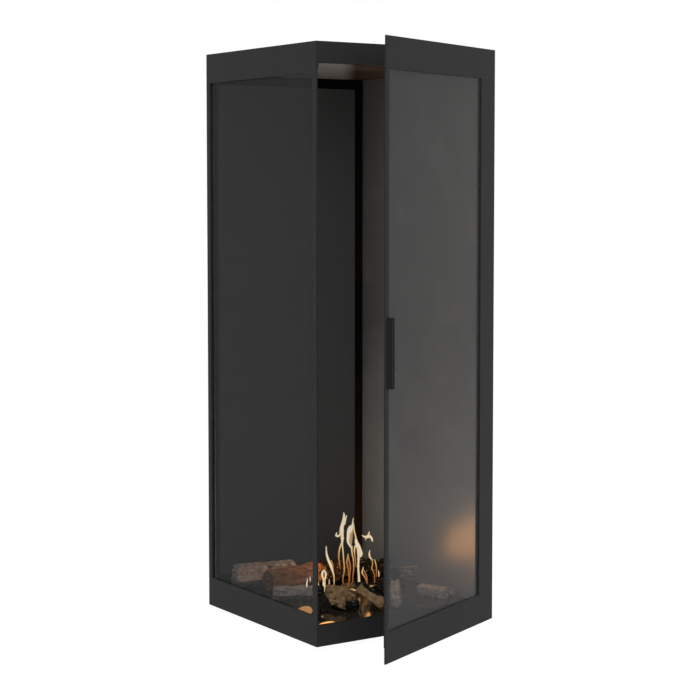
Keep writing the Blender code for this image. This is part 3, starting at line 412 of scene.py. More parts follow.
# %% Put the finishes on the solids
FINISHES = {
    "black_steel": POWDER_COAT,
    "dark_steel": DARK_STEEL,
    "handle_bar": BAR,
    "firebox_steel": SATIN_STEEL,
    "gloss_steel": GLOSS_STEEL,
    "black_liner": LINER,
    "gasket": gasket(),
    "stainless": stainless(),
    "ceramic_wool": ceramic_wool(),
    "clear_glass": SIDE_PANE,
}
SLOTS = {row["node"]: row["material_slot"] for row in frame["record"]["subparts"]}


def dress(node, material):
    """Puts a material in every slot of a solid's mesh."""
    for place in NODES[node].material_slots:
        place.material = material


for node, slot in SLOTS.items():
    if slot in FINISHES:
        dress(node, FINISHES[slot])
dress("door_glass", DOOR_PANE)
dress("firebox_rear_wall", REAR_STRIP_PAINTED_FIRELIGHT)
dress("firebox_ceiling", CEILING_STEEL)
dress("side_glass_rail_rear", REAR_RAIL_PAINTED_FIRELIGHT)
print("finishes on:", sum(slot in FINISHES for slot in SLOTS.values()), "of", len(SLOTS), "solids")

# %% [markdown]
# ## The ceramic logs
#
# The logs are cast in refractory ceramic from real firewood and painted, so they show bark plates, splits
# with long fibres, charred lumps and ring marks on their ends. A smooth cylinder with a bumpy shader would
# look like plastic at its outline. Instead each log is a finely divided cylinder whose surface is pushed in
# and out by noise that is stretched along the grain. Its place and size are read from its plain solid.

# %% Read a log's place from its solid
LOGS = [node for node in NODES if node.startswith("log_")]
ROUND_SHARE = 80


def log_axis(node):
    """The middle, the length direction, the length and the radius of a log's solid."""
    points = np.array([vert.co for vert in NODES[node].data.vertices])
    points = np.unique(points.round(5), axis=0)
    middle = (points.min(axis=0) + points.max(axis=0)) / 2
    directions = np.linalg.eigh(np.cov((points - points.mean(axis=0)).T))[1]
    along = Vector(directions[:, 2])
    if along.x < 0:
        along.negate()
    reach = (points - middle) @ np.array(along)
    middle = Vector(middle) + along * (reach.max() + reach.min()) / 2
    offsets = [Vector(point) - middle for point in points]
    radius = np.percentile([(o - along * o.dot(along)).length for o in offsets], ROUND_SHARE)
    return middle, along, reach.max() - reach.min(), float(radius)


for node in LOGS:
    middle, along, length, radius = log_axis(node)
    print(node, SLOTS[node], "length", round(length / MM), "mm, radius", round(radius / MM), "mm")

# %% [markdown]
# A split log has flat faces where the axe opened it. They could be cut with planes, but a plane leaves a
# sharp edge, so they are numbers that the round section is worked out from. Each flat is given by its
# direction round the log, from 0 at the top to 90 at the side that looks to the front or the left, and by its
# distance from the middle as a share of the radius. Char and ember spots lie at a place along the log from -1
# to 1 and a direction, and reach so far along and round.

# %% Flats and spots of the logs
FLATS = {
    "log_rear_left": [(5, 0.78), (72, 0.70), (-70, 0.80), (140, 0.80)],
    "log_behind_flames": [(85, 0.72), (20, 0.84), (-35, 0.88)],
    "log_left": [(60, 0.36), (140, 0.62), (-30, 0.55)],
    "log_charred_front": [(-40, 0.50), (55, 0.66), (112, 0.50), (165, 0.60)],
    "log_split_centre": [(62, 0.50), (160, 0.80), (-30, 0.80)],
    "log_diagonal": [(52, 0.50), (150, 0.62), (-75, 0.75)],
    "log_small_charred": [(40, 0.72), (115, 0.75), (-40, 0.8)],
    "log_right_middle": [(30, 0.75), (110, 0.8)],
    "log_front_lit": [(0, 0.72), (-80, 0.70)],
    "log_upper_right": [(-30, 0.75)],
    "log_right_front": [(20, 0.66), (100, 0.62)],
    "log_far_right": [(45, 0.60)],
    "log_rear_right": [(55, 0.66), (-40, 0.85)],
}
CHAR_SPOTS = {
    "log_behind_flames": [(0.85, 60, 0.7, 300)],
    "log_diagonal": [(-0.15, -15, 0.9, 38), (-1.0, 60, 0.18, 200)],
    "log_split_centre": [(0.2, 150, 0.6, 45)],
    "log_left": [(0.95, 60, 0.4, 260)],
    "log_front_lit": [(0.9, 0, 0.4, 200)],
    "log_upper_right": [(-0.9, 0, 0.5, 200)],
    "log_rear_right": [(0.0, 0, 3.0, 720)],
}
EMBER_SPOTS = {"log_behind_flames": [(0.3, 70, 0.7, 90)]}
SMOOTH_CHAR = ("log_charred_front",)


def spot_share(spots, along_share, direction):
    """How strongly a set of spots covers a point of a log, from 0 to 1."""
    found = 0.0
    for place, angle, reach, width in spots:
        turn = abs((direction - angle + 180) % 360 - 180) / width
        away = math.hypot((along_share - place) / reach, turn)
        found = max(found, 1.0 - away**2)
    return max(0.0, found)


# %% [markdown]
# The roughness has the sizes of real wood: bark whose fissures run 40 mm and lie 9 mm apart, fibres 70 mm
# long and 3 mm thick on a split face, and scales of char 9 to 13 mm wide. A bump in the material could draw
# them, but it leaves the outline smooth, so here they move the surface itself. Each size is a run along the
# grain and a step round it.

# %% Roughness of the logs
BARK_FISSURE = (0.040, 0.009)
BARK_BREAK = (0.014, 0.020)
WOOD_FIBRE = (0.070, 0.0032)
WOOD_SPLIT = (0.055, 0.009)
CHAR_SCALE = (0.013, 0.009)
CREASE_STEEPNESS = 3.2
SCALE_STEEPNESS = 2.6
RIDGES, BREAKS = 0.65, 0.35
WOOD_LEVEL, FIBRES, SPLITS, SPLIT_LEVEL = 0.5, 0.22, 0.4, 0.6


def stretched(local, size):
    """A point of a log measured in runs along its grain and steps round it."""
    return Vector((local.x / size[0], local.y / size[1], local.z / size[1]))


def creased(place):
    """Noise with sharp valleys, for fissures: 0 in a valley, 1 on a ridge."""
    return min(1.0, abs(noise.noise(place)) * CREASE_STEEPNESS)


def bark_relief(local, seed):
    """The height of bark over its fissures, from 0 to 1."""
    ridges = creased(stretched(local, BARK_FISSURE) + seed)
    breaks = creased(stretched(local, BARK_BREAK) - seed)
    return RIDGES * ridges + BREAKS * breaks


def wood_relief(local, seed):
    """The height of a split face: fine fibres, with a few long splits between them."""
    fibres = noise.noise(stretched(local, WOOD_FIBRE) + seed)
    splits = creased(stretched(local, WOOD_SPLIT) + seed)
    return WOOD_LEVEL + FIBRES * fibres + SPLITS * (splits - SPLIT_LEVEL)


def char_relief(local, seed):
    """The height of charred wood, which cracks into scales: 0 in a crack, 1 on a scale."""
    near = noise.voronoi(stretched(local, CHAR_SCALE) + seed)[0]
    return min(1.0, (near[1] - near[0]) * SCALE_STEEPNESS)


print("relief at one point:", round(bark_relief(Vector((0, 0, 0.03)), Vector((7, 3, 1))), 2))

# %% [markdown]
# A log starts as a cylinder along Z. Cutting it with planes gives rings 1.4 mm apart, and its ends get rings
# by insets, so that they can be rough too. Its flats and lumps shape the section, and the ends are broken
# off: a splintered one is a little longer than its solid, and one log is thicker than its solid.

# %% Cylinder and section of a log
GRAIN_STEP = 1.4 * MM
AROUND = 128
CAP_RINGS = 9
SPLINTER = {"log_split_centre": 14 * MM}
THICKER = {"log_rear_right": 1.3}
EDGE_POWER = 26
GRAZING = 0.05
THINNEST_SHARE = 0.2


def divided_cylinder(length, radius):
    """A closed cylinder along Z, with a ring at every grain step and rings on its ends."""
    bm = bmesh.new()
    bmesh.ops.create_cone(bm, cap_ends=True, segments=AROUND, radius1=radius, radius2=radius, depth=length)
    for i in range(1, round(length / GRAIN_STEP)):
        level = i * GRAIN_STEP - length / 2
        everything = bm.verts[:] + bm.edges[:] + bm.faces[:]
        bmesh.ops.bisect_plane(bm, geom=everything, plane_co=(0, 0, level), plane_no=(0, 0, 1))
    caps = [face for face in bm.faces if len(face.verts) > 4]
    for ring in range(CAP_RINGS):
        bmesh.ops.inset_region(bm, faces=caps, thickness=radius / (CAP_RINGS + 1), use_even_offset=True)
    return bm


def section_radius(flats, direction, wobble):
    """The radius share of a log cut by its flats, with slightly rounded edges, and how flat it is there."""
    total = 1.0
    flat = 0.0
    for angle, share in flats:
        facing = math.cos(math.radians(direction - angle))
        if facing > GRAZING:
            term = (facing / max(THINNEST_SHARE, share + wobble)) ** EDGE_POWER
            total += term
            flat += term
    return total ** (-1 / EDGE_POWER), flat / total


def log_frame(middle, along):
    """Turns the log's own frame (X up, Y to the front, Z along) into the fireplace's."""
    up = (Vector((0, 0, 1)) - along * along.z).normalized()
    turn = Matrix((up, along.cross(up), along)).transposed().to_4x4()
    return Matrix.Translation(middle) @ turn


# %% [markdown]
# Each point of the cylinder is then pushed in or out. The pairs in the next cell are how strong each kind of
# unevenness is, as a share of the radius or of the broken end, and how wide it is in metres. What each point
# turned out to be, bark, split face, char or ember, is stored on the mesh, for the paint to follow.

# %% Shape a point of a log
SEED_STEP = (7.3, 3.1, 1.7)
WOBBLES = (0.10, 0.035)
WAVES = (0.05, 0.018)
LUMPS = (0.13, 0.028)
KNOBS = (0.06, 0.013)
CHAR_FRAY = (0.5, 0.012)
JAGS = (0.7, 0.010)
SPLINTERS = (0.5, 0.004)
CHAR_MARGIN = 0.12
CHAR_CONTRAST = 3.0
WOOD_DEPTH = 0.05
BARK_DEPTH = 0.07
CHAR_DEPTH = 0.05
CALM_ON_FLATS = 0.8
RELIEF_LEVEL = 0.8
END_TAPER = 0.04
TAPER_FROM, TAPER_REACH = 0.9, 0.1
BROKEN_END = 6 * MM
END_POWER = 10


def char_share(node, local, along_share, direction, seed):
    """How charred a point of a partly charred log is, from 0 to 1, with a frayed edge."""
    char = spot_share(CHAR_SPOTS.get(node, []), along_share, direction)
    char = char + CHAR_FRAY[0] * noise.noise(local / CHAR_FRAY[1] + seed) - CHAR_MARGIN
    return min(1.0, max(0.0, char * CHAR_CONTRAST))


def swell_share(cut, flat, split, char, relief, local, along_share, seed):
    """How far a point stands from the log's middle, as a share of the radius."""
    depth = WOOD_DEPTH + BARK_DEPTH * (1 - split) + CHAR_DEPTH * char
    lumps = LUMPS[0] * noise.noise(local / LUMPS[1] + seed) + KNOBS[0] * noise.noise(local / KNOBS[1] - seed)
    swell = cut * (1 + lumps * (1 - CALM_ON_FLATS * flat)) + depth * (relief - RELIEF_LEVEL)
    return swell * (1 - END_TAPER * max(0.0, abs(along_share) - TAPER_FROM) / TAPER_REACH)


def end_jag(local, number, seed):
    """How deep the broken end is at a point, as a share of its depth."""
    jag = JAGS[0] * creased(Vector((number, local.y / JAGS[1], local.z / JAGS[1])) + seed)
    fine = noise.noise(Vector((number, local.y / SPLINTERS[1], local.z / SPLINTERS[1])))
    return jag + SPLINTERS[0] * fine


def shape_point(vert, layers, node, number, length, radius):
    """Moves one point of a log's cylinder to the rough surface, and stores what it is made of."""
    seed = Vector([step * number for step in SEED_STEP])
    local = Vector((vert.co.z, vert.co.x, vert.co.y))
    share = math.hypot(vert.co.x, vert.co.y) / radius
    at_end = abs(abs(local.x) - length / 2) < GRAIN_STEP / 10
    direction = math.degrees(math.atan2(vert.co.y, vert.co.x))
    along_share = 2 * local.x / length
    wobble = WOBBLES[0] * noise.noise(Vector((local.x / WOBBLES[1], number, 0)))
    wobble = wobble + WAVES[0] * noise.noise(local / WAVES[1])
    cut, flat = section_radius(FLATS[node], direction, wobble)
    charred = SLOTS[node] == "log_charred" and node not in SMOOTH_CHAR
    char = 1.0 if charred else char_share(node, local, along_share, direction, seed)
    split = 0.0 if charred else flat
    relief = split * wood_relief(local, seed) + (1 - split) * bark_relief(local, seed)
    relief = char * char_relief(local, seed) + (1 - char) * relief
    swell = swell_share(cut, flat, split, char, relief, local, along_share, seed)
    vert.co.x *= swell
    vert.co.y *= swell
    jag = end_jag(local, number, seed)
    vert.co.z -= math.copysign(jag * BROKEN_END, local.x) * abs(along_share) ** END_POWER
    ember = spot_share(EMBER_SPOTS.get(node, []), along_share, direction)
    vert[layers["grain"]] = local
    vert[layers["marks"]] = (split, char, ember, 1.0 if at_end else 0.0)
    vert[layers["relief"]] = relief * (0.5 + 0.5 * share if at_end else 1.0)


# %% Grow a log
def grow_log(node, number):
    """Makes the rough log that takes the place of a plain solid."""
    middle, along, length, radius = log_axis(node)
    longer = SPLINTER.get(node, 0.0)
    middle, length = middle + along * longer / 2, length + longer
    middle.z += radius * (THICKER.get(node, 1.0) - 1.0)
    radius *= THICKER.get(node, 1.0)
    bm = divided_cylinder(length, radius)
    layers = {
        "grain": bm.verts.layers.float_vector.new("grain"),
        "marks": bm.verts.layers.float_color.new("marks"),
        "relief": bm.verts.layers.float.new("relief"),
    }
    for vert in bm.verts:
        shape_point(vert, layers, node, number, length, radius)
    bmesh.ops.transform(bm, matrix=log_frame(middle, along), verts=bm.verts)
    bmesh.ops.triangulate(bm, faces=[face for face in bm.faces if len(face.verts) > 4])
    bmesh.ops.recalc_face_normals(bm, faces=bm.faces)
    mesh = bpy.data.meshes.new("ceramic_" + node)
    bm.to_mesh(mesh)
    bm.free()
    mesh.shade_smooth()
    made = bpy.data.objects.new("ceramic_" + node, mesh)
    bpy.context.scene.collection.objects.link(made)
    return made


# %% [markdown]
# The paint follows the casting. Bark is grey-brown with painted shade in its fissures, a split face is tan
# with fine fibres, and charred wood is black with a bloom of pale ash. The patterns read the log's own grain
# direction, which was stored on the mesh, so the fibres run along each log whichever way it lies.

# %% Paint of split wood and char
FIBRE = 1.3 * MM
FIBRE_RUN = 30 * MM
RING_TURN = 2.2 * MM
WAVE_RATE = 20
STREAKS = (0.36, 0.64)
ASH_ON_RELIEF = (0.48, 0.66)


def wood_paint(tree, grain, fibres, at_end, dark, pale):
    """Streaks along the fibres of a split face, and rings on a broken end.

    The wave texture turns by 20 radians for each unit, so the rings come 14 mm apart. Real growth rings are
    finer, and wouldn't show.
    """
    streaks = add(tree, "MapRange", {"Value": fibres, "From Min": STREAKS[0], "From Max": STREAKS[1]})
    wood = add(tree, "Mix", {0: streaks.outputs[0], 6: linear(dark), 7: linear(pale)}, data_type="RGBA")
    waves = {"Vector": grain, "Scale": 1 / (WAVE_RATE * RING_TURN), "Distortion": 1.5, "Detail": 2.0}
    rings = add(tree, "TexWave", waves, wave_type="RINGS").outputs["Fac"]
    ringed = add(tree, "Mix", {0: rings, 6: linear(dark), 7: linear(pale)}, data_type="RGBA")
    painted = add(tree, "Mix", {0: at_end, 6: wood.outputs[2], 7: ringed.outputs[2]}, data_type="RGBA")
    return painted.outputs[2]


def char_paint(tree, relief, specks):
    """Black coal, with pale ash on what stands out."""
    ash = add(tree, "Math", {0: relief, 1: specks}, operation="MULTIPLY").outputs[0]
    ash = add(tree, "MapRange", {"Value": ash, "From Min": ASH_ON_RELIEF[0], "From Max": ASH_ON_RELIEF[1]})
    coal = add(tree, "Mix", {0: ash.outputs[0], 6: linear("11110f"), 7: linear("6f7678")}, data_type="RGBA")
    return coal.outputs[2]


# %% Paint of bark
FISSURE_TO_CRUST = (0.2, 0.75)
WEAR_RANGE = (0.35, 0.65)
WORN_DARK = (0.62, 0.6, 0.58, 1)
WORN_PALE = (1.2, 1.2, 1.2, 1)


def bark_paint(tree, relief, fissure_shade, bark):
    """Painted shade in the fissures and the colour of bark on the crust."""
    low, high = FISSURE_TO_CRUST
    crust = add(tree, "MapRange", {"Value": relief, "From Min": low, "From Max": high}).outputs[0]
    body = add(tree, "Mix", {0: crust, 6: linear(fissure_shade), 7: linear(bark)}, data_type="RGBA")
    return body.outputs[2]


def worn(tree, body, patches):
    """Makes the paint darker and paler in patches, as handling and heat do."""
    wear = add(tree, "MapRange", {"Value": patches, "From Min": WEAR_RANGE[0], "From Max": WEAR_RANGE[1]})
    wear = add(tree, "Mix", {0: wear.outputs[0], 6: WORN_DARK, 7: WORN_PALE}, data_type="RGBA").outputs[2]
    both = {0: 1.0, 6: body, 7: wear}
    return add(tree, "Mix", both, data_type="RGBA", blend_type="MULTIPLY").outputs[2]


# %% [markdown]
# The whole finish stacks these paints: bark, then split wood where the axe or the break opened it, then wear,
# then char. Ember spots glow in the specks between the ash. Two fine bumps, of fibres and of grit, finish
# what is too small for the mesh.

# %% Log finish
PATCH_SIZE = 14 * MM
SPECK_SIZE = 2.5 * MM
FIBRE_DEPTH = 0.7 * MM
SPECK_DEPTH = 0.6 * MM
SPARKS = (0.58, 0.7)
EMBER_GLOW = 0.5
EMBER_COLOUR = "ff9440"


def ember_sparks(tree, shader, specks, ember):
    """Glowing specks where a log has ember spots."""
    sparks = add(tree, "MapRange", {"Value": specks, "From Min": SPARKS[0], "From Max": SPARKS[1]})
    sparks = add(tree, "Math", {0: sparks.outputs[0], 1: ember}, operation="MULTIPLY")
    sparks = add(tree, "Math", {0: sparks.outputs[0], 1: EMBER_GLOW}, operation="MULTIPLY")
    link(tree, sparks.outputs[0], shader, "Emission Strength")
    shader.inputs["Emission Color"].default_value = linear(EMBER_COLOUR)


def grain_bumps(tree, shader, fibres, specks):
    """Fibres and grit that are finer than the mesh."""
    bump = add(tree, "Bump", {"Height": fibres, "Strength": 0.7, "Distance": FIBRE_DEPTH}).outputs["Normal"]
    fine = add(tree, "Bump", {"Height": specks, "Normal": bump, "Strength": 0.3, "Distance": SPECK_DEPTH})
    link(tree, fine.outputs["Normal"], shader, "Normal")


def log_finish(name, fissure_shade, bark, wood_dark, wood_pale):
    """Cast ceramic painted as bark, split wood and char, after the marks stored on the mesh."""
    made, tree, shader = finish(name, Roughness=0.85, Specular_IOR_Level=0.2)
    grain = add(tree, "Attribute", attribute_name="grain").outputs["Vector"]
    marks = add(tree, "Attribute", attribute_name="marks").outputs
    split, char, ember = add(tree, "SeparateColor", {"Color": marks["Color"]}).outputs
    at_end = marks["Alpha"]
    relief = add(tree, "Attribute", attribute_name="relief").outputs["Fac"]
    run = add(tree, "Mapping", {"Vector": grain, "Scale": (1 / FIBRE_RUN, 1 / FIBRE, 1 / FIBRE)}).outputs[0]
    fibres = add(tree, "TexNoise", {"Vector": run, "Scale": 1.0, "Detail": 3.0}).outputs["Fac"]
    patches = add(tree, "TexNoise", {"Vector": grain, "Scale": 1 / PATCH_SIZE, "Detail": 4.0}).outputs["Fac"]
    specks = add(tree, "TexNoise", {"Vector": grain, "Scale": 1 / SPECK_SIZE, "Detail": 4.0}).outputs["Fac"]
    wood = wood_paint(tree, grain, fibres, at_end, wood_dark, wood_pale)
    body = bark_paint(tree, relief, fissure_shade, bark)
    opened = add(tree, "Math", {0: split, 1: at_end}, operation="MAXIMUM").outputs[0]
    body = add(tree, "Mix", {0: opened, 6: body, 7: wood}, data_type="RGBA").outputs[2]
    body = worn(tree, body, patches)
    coal = char_paint(tree, relief, specks)
    body = add(tree, "Mix", {0: char, 6: body, 7: coal}, data_type="RGBA").outputs[2]
    link(tree, body, shader, "Base Color")
    ember_sparks(tree, shader, specks, ember)
    grain_bumps(tree, shader, fibres, specks)
    return made


# %% Paints of the logs
# The first colour of each paint is the painted shade in the bark's fissures.
BROWN_LOG = log_finish("ceramic_cast_brown_wood", "1c120b", "6a4a34", "806446", "b89870")
GREY_LOG = log_finish("ceramic_cast_grey_wood", "6a6158", "c8bcb2", "b4a89e", "ece4dc")
BLACK_LOG = log_finish("ceramic_cast_burnt_wood", "080605", "241f1a", "171310", "2c251e")
# The orange-brown of the log behind the flames is painted firelight, on top of the fire's lamps.
LIT_LOG = log_finish("ceramic_cast_bark_painted_firelight", "2a190f", "8c6442", "86603f", "ae8458")
print("paints:", BROWN_LOG.name, GREY_LOG.name, BLACK_LOG.name, LIT_LOG.name)

# %% [markdown]
# Now every log is grown, painted and set on the cabinet in the place of its solid. The logs go into a
# collection too, because the fire's lamps will light only what is in it.

# %% Make every log
LOG_PAINTS = {
    "log_rear_left": GREY_LOG,
    "log_left": GREY_LOG,
    "log_right_front": GREY_LOG,
    "log_front_lit": GREY_LOG,
    "log_upper_right": GREY_LOG,
    "log_far_right": GREY_LOG,
    "log_charred_front": BLACK_LOG,
    "log_behind_flames": LIT_LOG,
}
LIT_BY_FIRE = bpy.data.collections.new("lit_by_fire")

for number, node in enumerate(LOGS):
    log = grow_log(node, number)
    log.data.materials.append(LOG_PAINTS.get(node, BROWN_LOG))
    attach(log, "cabinet")
    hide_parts(node)
    LIT_BY_FIRE.objects.link(log)
    print(log.name, len(log.data.polygons), "faces")

# %% [markdown]
# ## The flames
#
# Bioethanol burns with tall, lively yellow tongues that split and break off. A flame is a thin sheet of
# glowing soot, brightest in its middle. It could be a volume, but gas on that scale renders slowly and has no
# surface to keep. So each tongue is a closed loft through a few rings. A wider orange skin goes round a
# white-yellow core, and a wide tongue has a thin veil behind it.
#
# Each flame is sketched on squared paper. A row is a point of its middle line, in squares across from the
# burner's centre and up from its slot, and its width there. A tone says how hot it glows at its two ends, and
# the number after it is how many squares it stands behind the burner's middle, or in front of it if negative.

# %% Flame tables
SQUARE_ACROSS = 2.93 * MM
SQUARE_UP = 2.54 * MM
BURNER_PLACE = (12 * MM, 0, 62 * MM)
BRIGHT = (0.75, 0.95)
PALE = (0.9, 1.0)
STRAND = (0.2, 0.85)
EMBER = (0.2, 0.6)
FLAMES = {
    "tall_body": (PALE, 0, [
        (-10.3, 46, 2.6), (-10, 50, 3.2), (-10, 54, 4.2), (-10.6, 58.5, 6), (-10.2, 63.5, 5.5),
        (-8.8, 68.5, 4.5), (-8.2, 73.5, 3), (-8.5, 77, 0.3),
    ]),
    "tall_second_tip": (PALE, 0, [(-8, 65, 2.5), (-6.8, 70, 2), (-5.5, 74, 0.3)]),
    "tall_curl": (PALE, 0, [(-11.5, 57, 1.5), (-14, 54.6, 3), (-16, 55.5, 2.8), (-15.4, 58.5, 0.4)]),
    "tall_left_strand": (STRAND, 0, [
        (-12, 22, 0.4), (-12.7, 28.5, 1.3), (-13.5, 33.5, 1.6), (-13.3, 38.5, 1.6), (-12.3, 43.5, 1.7),
        (-10.4, 48, 1.8),
    ]),
    "tall_right_strand": (STRAND, 1, [
        (-8.6, 7, 0.5), (-9.4, 10, 0.8), (-9.2, 13.5, 1), (-8.2, 18.5, 1.2), (-8, 24, 1.4), (-8.7, 31, 1.4),
        (-9.2, 38.5, 1.5), (-10.2, 47, 2),
    ]),
    "middle_left_lobe": (PALE, -1, [
        (-0.6, 41, 1.4), (-2.6, 44.5, 2.8), (-4.3, 48.5, 3.6), (-4.1, 53.5, 4.4), (-3.6, 58.5, 5),
        (-2.6, 62, 3.6), (-0.8, 64, 0.6),
    ]),
    "middle_crown": (PALE, -1, [
        (-2.4, 56, 1.5), (-1, 59.5, 3.6), (0, 63.5, 2), (0.6, 68, 0.9), (1, 70.8, 0.3),
    ]),
    "middle_veil": (PALE, 1, [
        (-1, 42, 1.5), (-1.8, 46, 5), (-1.6, 51, 6.6), (-1, 56, 6), (0, 61, 4), (0.4, 66, 1),
    ]),
    "tall_veil": (PALE, 1, [
        (-10.6, 50, 2), (-11, 55, 5), (-11, 60, 6.5), (-9.8, 65, 6.5), (-8.4, 70, 5), (-7.6, 74, 1),
    ]),
    "middle_right_edge": (BRIGHT, 0, [
        (3.9, 49, 2.4), (3, 53.5, 1.7), (2, 57.5, 1.4), (1.5, 62, 1.1), (1, 66, 0.4),
    ]),
    "middle_right_body": (BRIGHT, 0, [
        (8, 31.2, 2.4), (8.6, 34.5, 6.4), (7.4, 38, 7.2), (5.8, 42.5, 7.4), (4.2, 46.5, 5.6),
        (3.6, 50.5, 2.2),
    ]),
    "thick_strand": (BRIGHT, 0, [
        (6.9, 7.5, 3.4), (6.6, 13.5, 3), (6.2, 18.5, 2.6), (6, 23.5, 2.6), (6.3, 30, 2.9), (6, 36, 3.4),
        (5.4, 41, 3),
    ]),
    "middle_strand": (STRAND, 2, [
        (0.4, 7, 0.5), (0.6, 13.5, 1), (1.3, 18.5, 1.2), (1.5, 24, 1.3), (1.2, 29, 1.4), (0, 34.5, 1.5),
        (-0.5, 38.5, 1.8), (-0.4, 42.5, 1.8),
    ]),
    "second_strand": (STRAND, 2, [
        (3.6, 22, 0.5), (3.2, 28.5, 1.2), (2.5, 33.5, 1.4), (2.1, 38.5, 2), (3.2, 43, 2.2),
    ]),
    "pair_left": (EMBER, 3, [
        (-4, 3, 0.6), (-3.2, 10.5, 1), (-3.6, 16, 1.1), (-4.2, 21.5, 1.2), (-5.3, 26, 1.3), (-5.2, 30, 1.2),
        (-4.2, 35.5, 0.3),
    ]),
    "pair_right": (EMBER, 3, [
        (-2.8, 8, 0.5), (-2.3, 15, 1), (-2, 22, 1.3), (-2.7, 27, 1.3), (-3.7, 31, 1.1), (-4.2, 35.5, 0.3),
    ]),
    "left_wisp": (BRIGHT, 0, [
        (-18.2, 8, 0.4), (-18.2, 15, 1.1), (-19, 19.5, 2.2), (-20.4, 24, 3.4), (-22, 28.5, 4.2),
        (-24, 33.5, 3.8), (-25.6, 39.5, 2.4), (-25.9, 46.5, 0.3),
    ]),
    "left_wisp_edge": (EMBER, 1, [(-19.6, 19, 0.4), (-19.5, 24, 1.8), (-20, 28, 1.8), (-21.2, 32, 0.4)]),
    "droplet_left": (BRIGHT, 0, [
        (-28, 12, 2.2), (-28.9, 15.5, 2.8), (-29.8, 18.5, 2.8), (-29.7, 21.5, 3), (-28.2, 23.4, 2.2),
    ]),
    "droplet_right": (BRIGHT, 0, [
        (-28, 12, 2.2), (-27, 15.5, 2.6), (-26.4, 18.5, 2.6), (-26.8, 21.5, 2.8), (-28.2, 23.4, 2.2),
    ]),
    "droplet_stem": (BRIGHT, 0, [(-28, 3, 1), (-28, 8.5, 3), (-28, 13.5, 3)]),
    "droplet_foot": (STRAND, 0, [(-30.4, 0.4, 0.5), (-29.4, 2.6, 1), (-28.2, 6, 1.2)]),
    "droplet_loop": (STRAND, 0, [
        (-27.8, 10, 0.8), (-26.6, 8.2, 1.2), (-25, 7.6, 1.4), (-23.6, 8.6, 1.2), (-22.9, 11, 1),
        (-23, 14, 0.3),
    ]),
    "post_flame": (BRIGHT, 0, [(-34, 8.2, 0.6), (-34, 11.5, 1.8), (-34.3, 15, 0.3)]),
    "post_foot": (STRAND, 0, [(-33.6, 0.4, 0.4), (-34, 4, 0.9), (-34.2, 8, 0.6)]),
    "far_left_flame": (BRIGHT, -12, [(-44.5, 12, 0.6), (-44.6, 15.5, 1.9), (-44.2, 19, 1.2), (-44, 22, 0.3)]),
    "far_left_spark": (BRIGHT, -12, [(-41.5, 17.5, 0.4), (-41.3, 20, 1.4), (-41.6, 23, 0.3)]),
    "torn_off": (BRIGHT, 0, [
        (10, 52.5, 0.8), (12, 50.9, 3.6), (14.5, 50.2, 5.6), (17, 50.8, 6), (19, 49, 4), (20, 46.8, 2.4),
        (20.6, 44.8, 0.3),
    ]),
    "torn_off_peak": (BRIGHT, 0, [(15.6, 50.5, 2), (16.7, 53, 2.2), (17.2, 55.4, 0.4)]),
    "torn_off_tail": (BRIGHT, 0, [(14.4, 50, 1.6), (13.2, 47.3, 0.3)]),
    "small_leaf": (STRAND, -2, [
        (14.8, 5, 0.5), (13.6, 9.5, 1.5), (11.8, 13, 2), (10, 16, 2.1), (10.5, 18.8, 1.5), (11, 21.8, 0.3),
    ]),
    "small_leaf_edge": (EMBER, -2, [(15.2, 5, 0.4), (14.8, 10, 1), (13.6, 14.5, 1), (11.8, 18.5, 0.4)]),
    "right_wisp": (BRIGHT, 0, [
        (21, 26.6, 0.4), (19.6, 27.8, 1.8), (17.9, 30, 2.4), (17.2, 33.5, 1.8), (17.8, 37, 0.3),
    ]),
    "right_thread": (EMBER, 0, [
        (22.6, 4, 0.4), (22.4, 11.5, 0.8), (21, 16, 1), (19.7, 18.7, 1.4), (20.5, 22.5, 1), (20, 27.5, 0.6),
    ]),
    "right_second_thread": (STRAND, 1, [(24.2, 9, 0.4), (24.6, 17, 1.2), (23.7, 23, 1.2), (22.5, 27, 0.3)]),
    "right_spark": (BRIGHT, 0, [(27, 9.5, 0.5), (26.9, 12.5, 1.2), (26.6, 15.6, 0.3)]),
}

# %% [markdown]
# A smooth curve runs through the rows of a flame. Circles are set along it, each turned to look along the
# curve and pressed flat, and neighbouring circles are bridged. The heat is stored on the mesh as a share from
# the foot to the tip.
#
# The paper was laid across the camera's view, so a flame that stands further back is also moved sideways.

# %% Path of a flame
FLAME_STEPS = 6
FLAME_SIDES = 10
FLAME_DEPTH_SHARE = 0.5
SKIN = 1.5 * MM
CORE_SHARE = 0.8
THINNEST = 0.2
SLANT = math.tan(CAMERA_YAW)


def smooth_station(stations, at):
    """The station at a share of the way through the list, on a smooth curve through its rows."""
    last = len(stations) - 1
    i = min(int(at * last), last - 1)
    t = at * last - i
    a, b, c, d = [np.array(stations[min(max(k, 0), last)], float) for k in (i - 1, i, i + 1, i + 2)]
    return 0.5 * (2 * b + (c - a) * t + (2 * a - 5 * b + 4 * c - d) * t**2 + (3 * b - a - 3 * c + d) * t**3)


def flame_path(stations, depth_squares):
    """Points of the middle line in metres, with the flame's width at each."""
    count = FLAME_STEPS * (len(stations) - 1)
    away = depth_squares * SQUARE_UP
    path = []
    for k in range(count + 1):
        across, up, wide = smooth_station(stations, k / count)
        x = BURNER_PLACE[0] + across * SQUARE_ACROSS + away * SLANT
        z = BURNER_PLACE[2] + up * SQUARE_UP
        path.append((Vector((x, BURNER_PLACE[1] + away, z)), max(wide, THINNEST) * SQUARE_UP * CORE_SHARE))
    return path


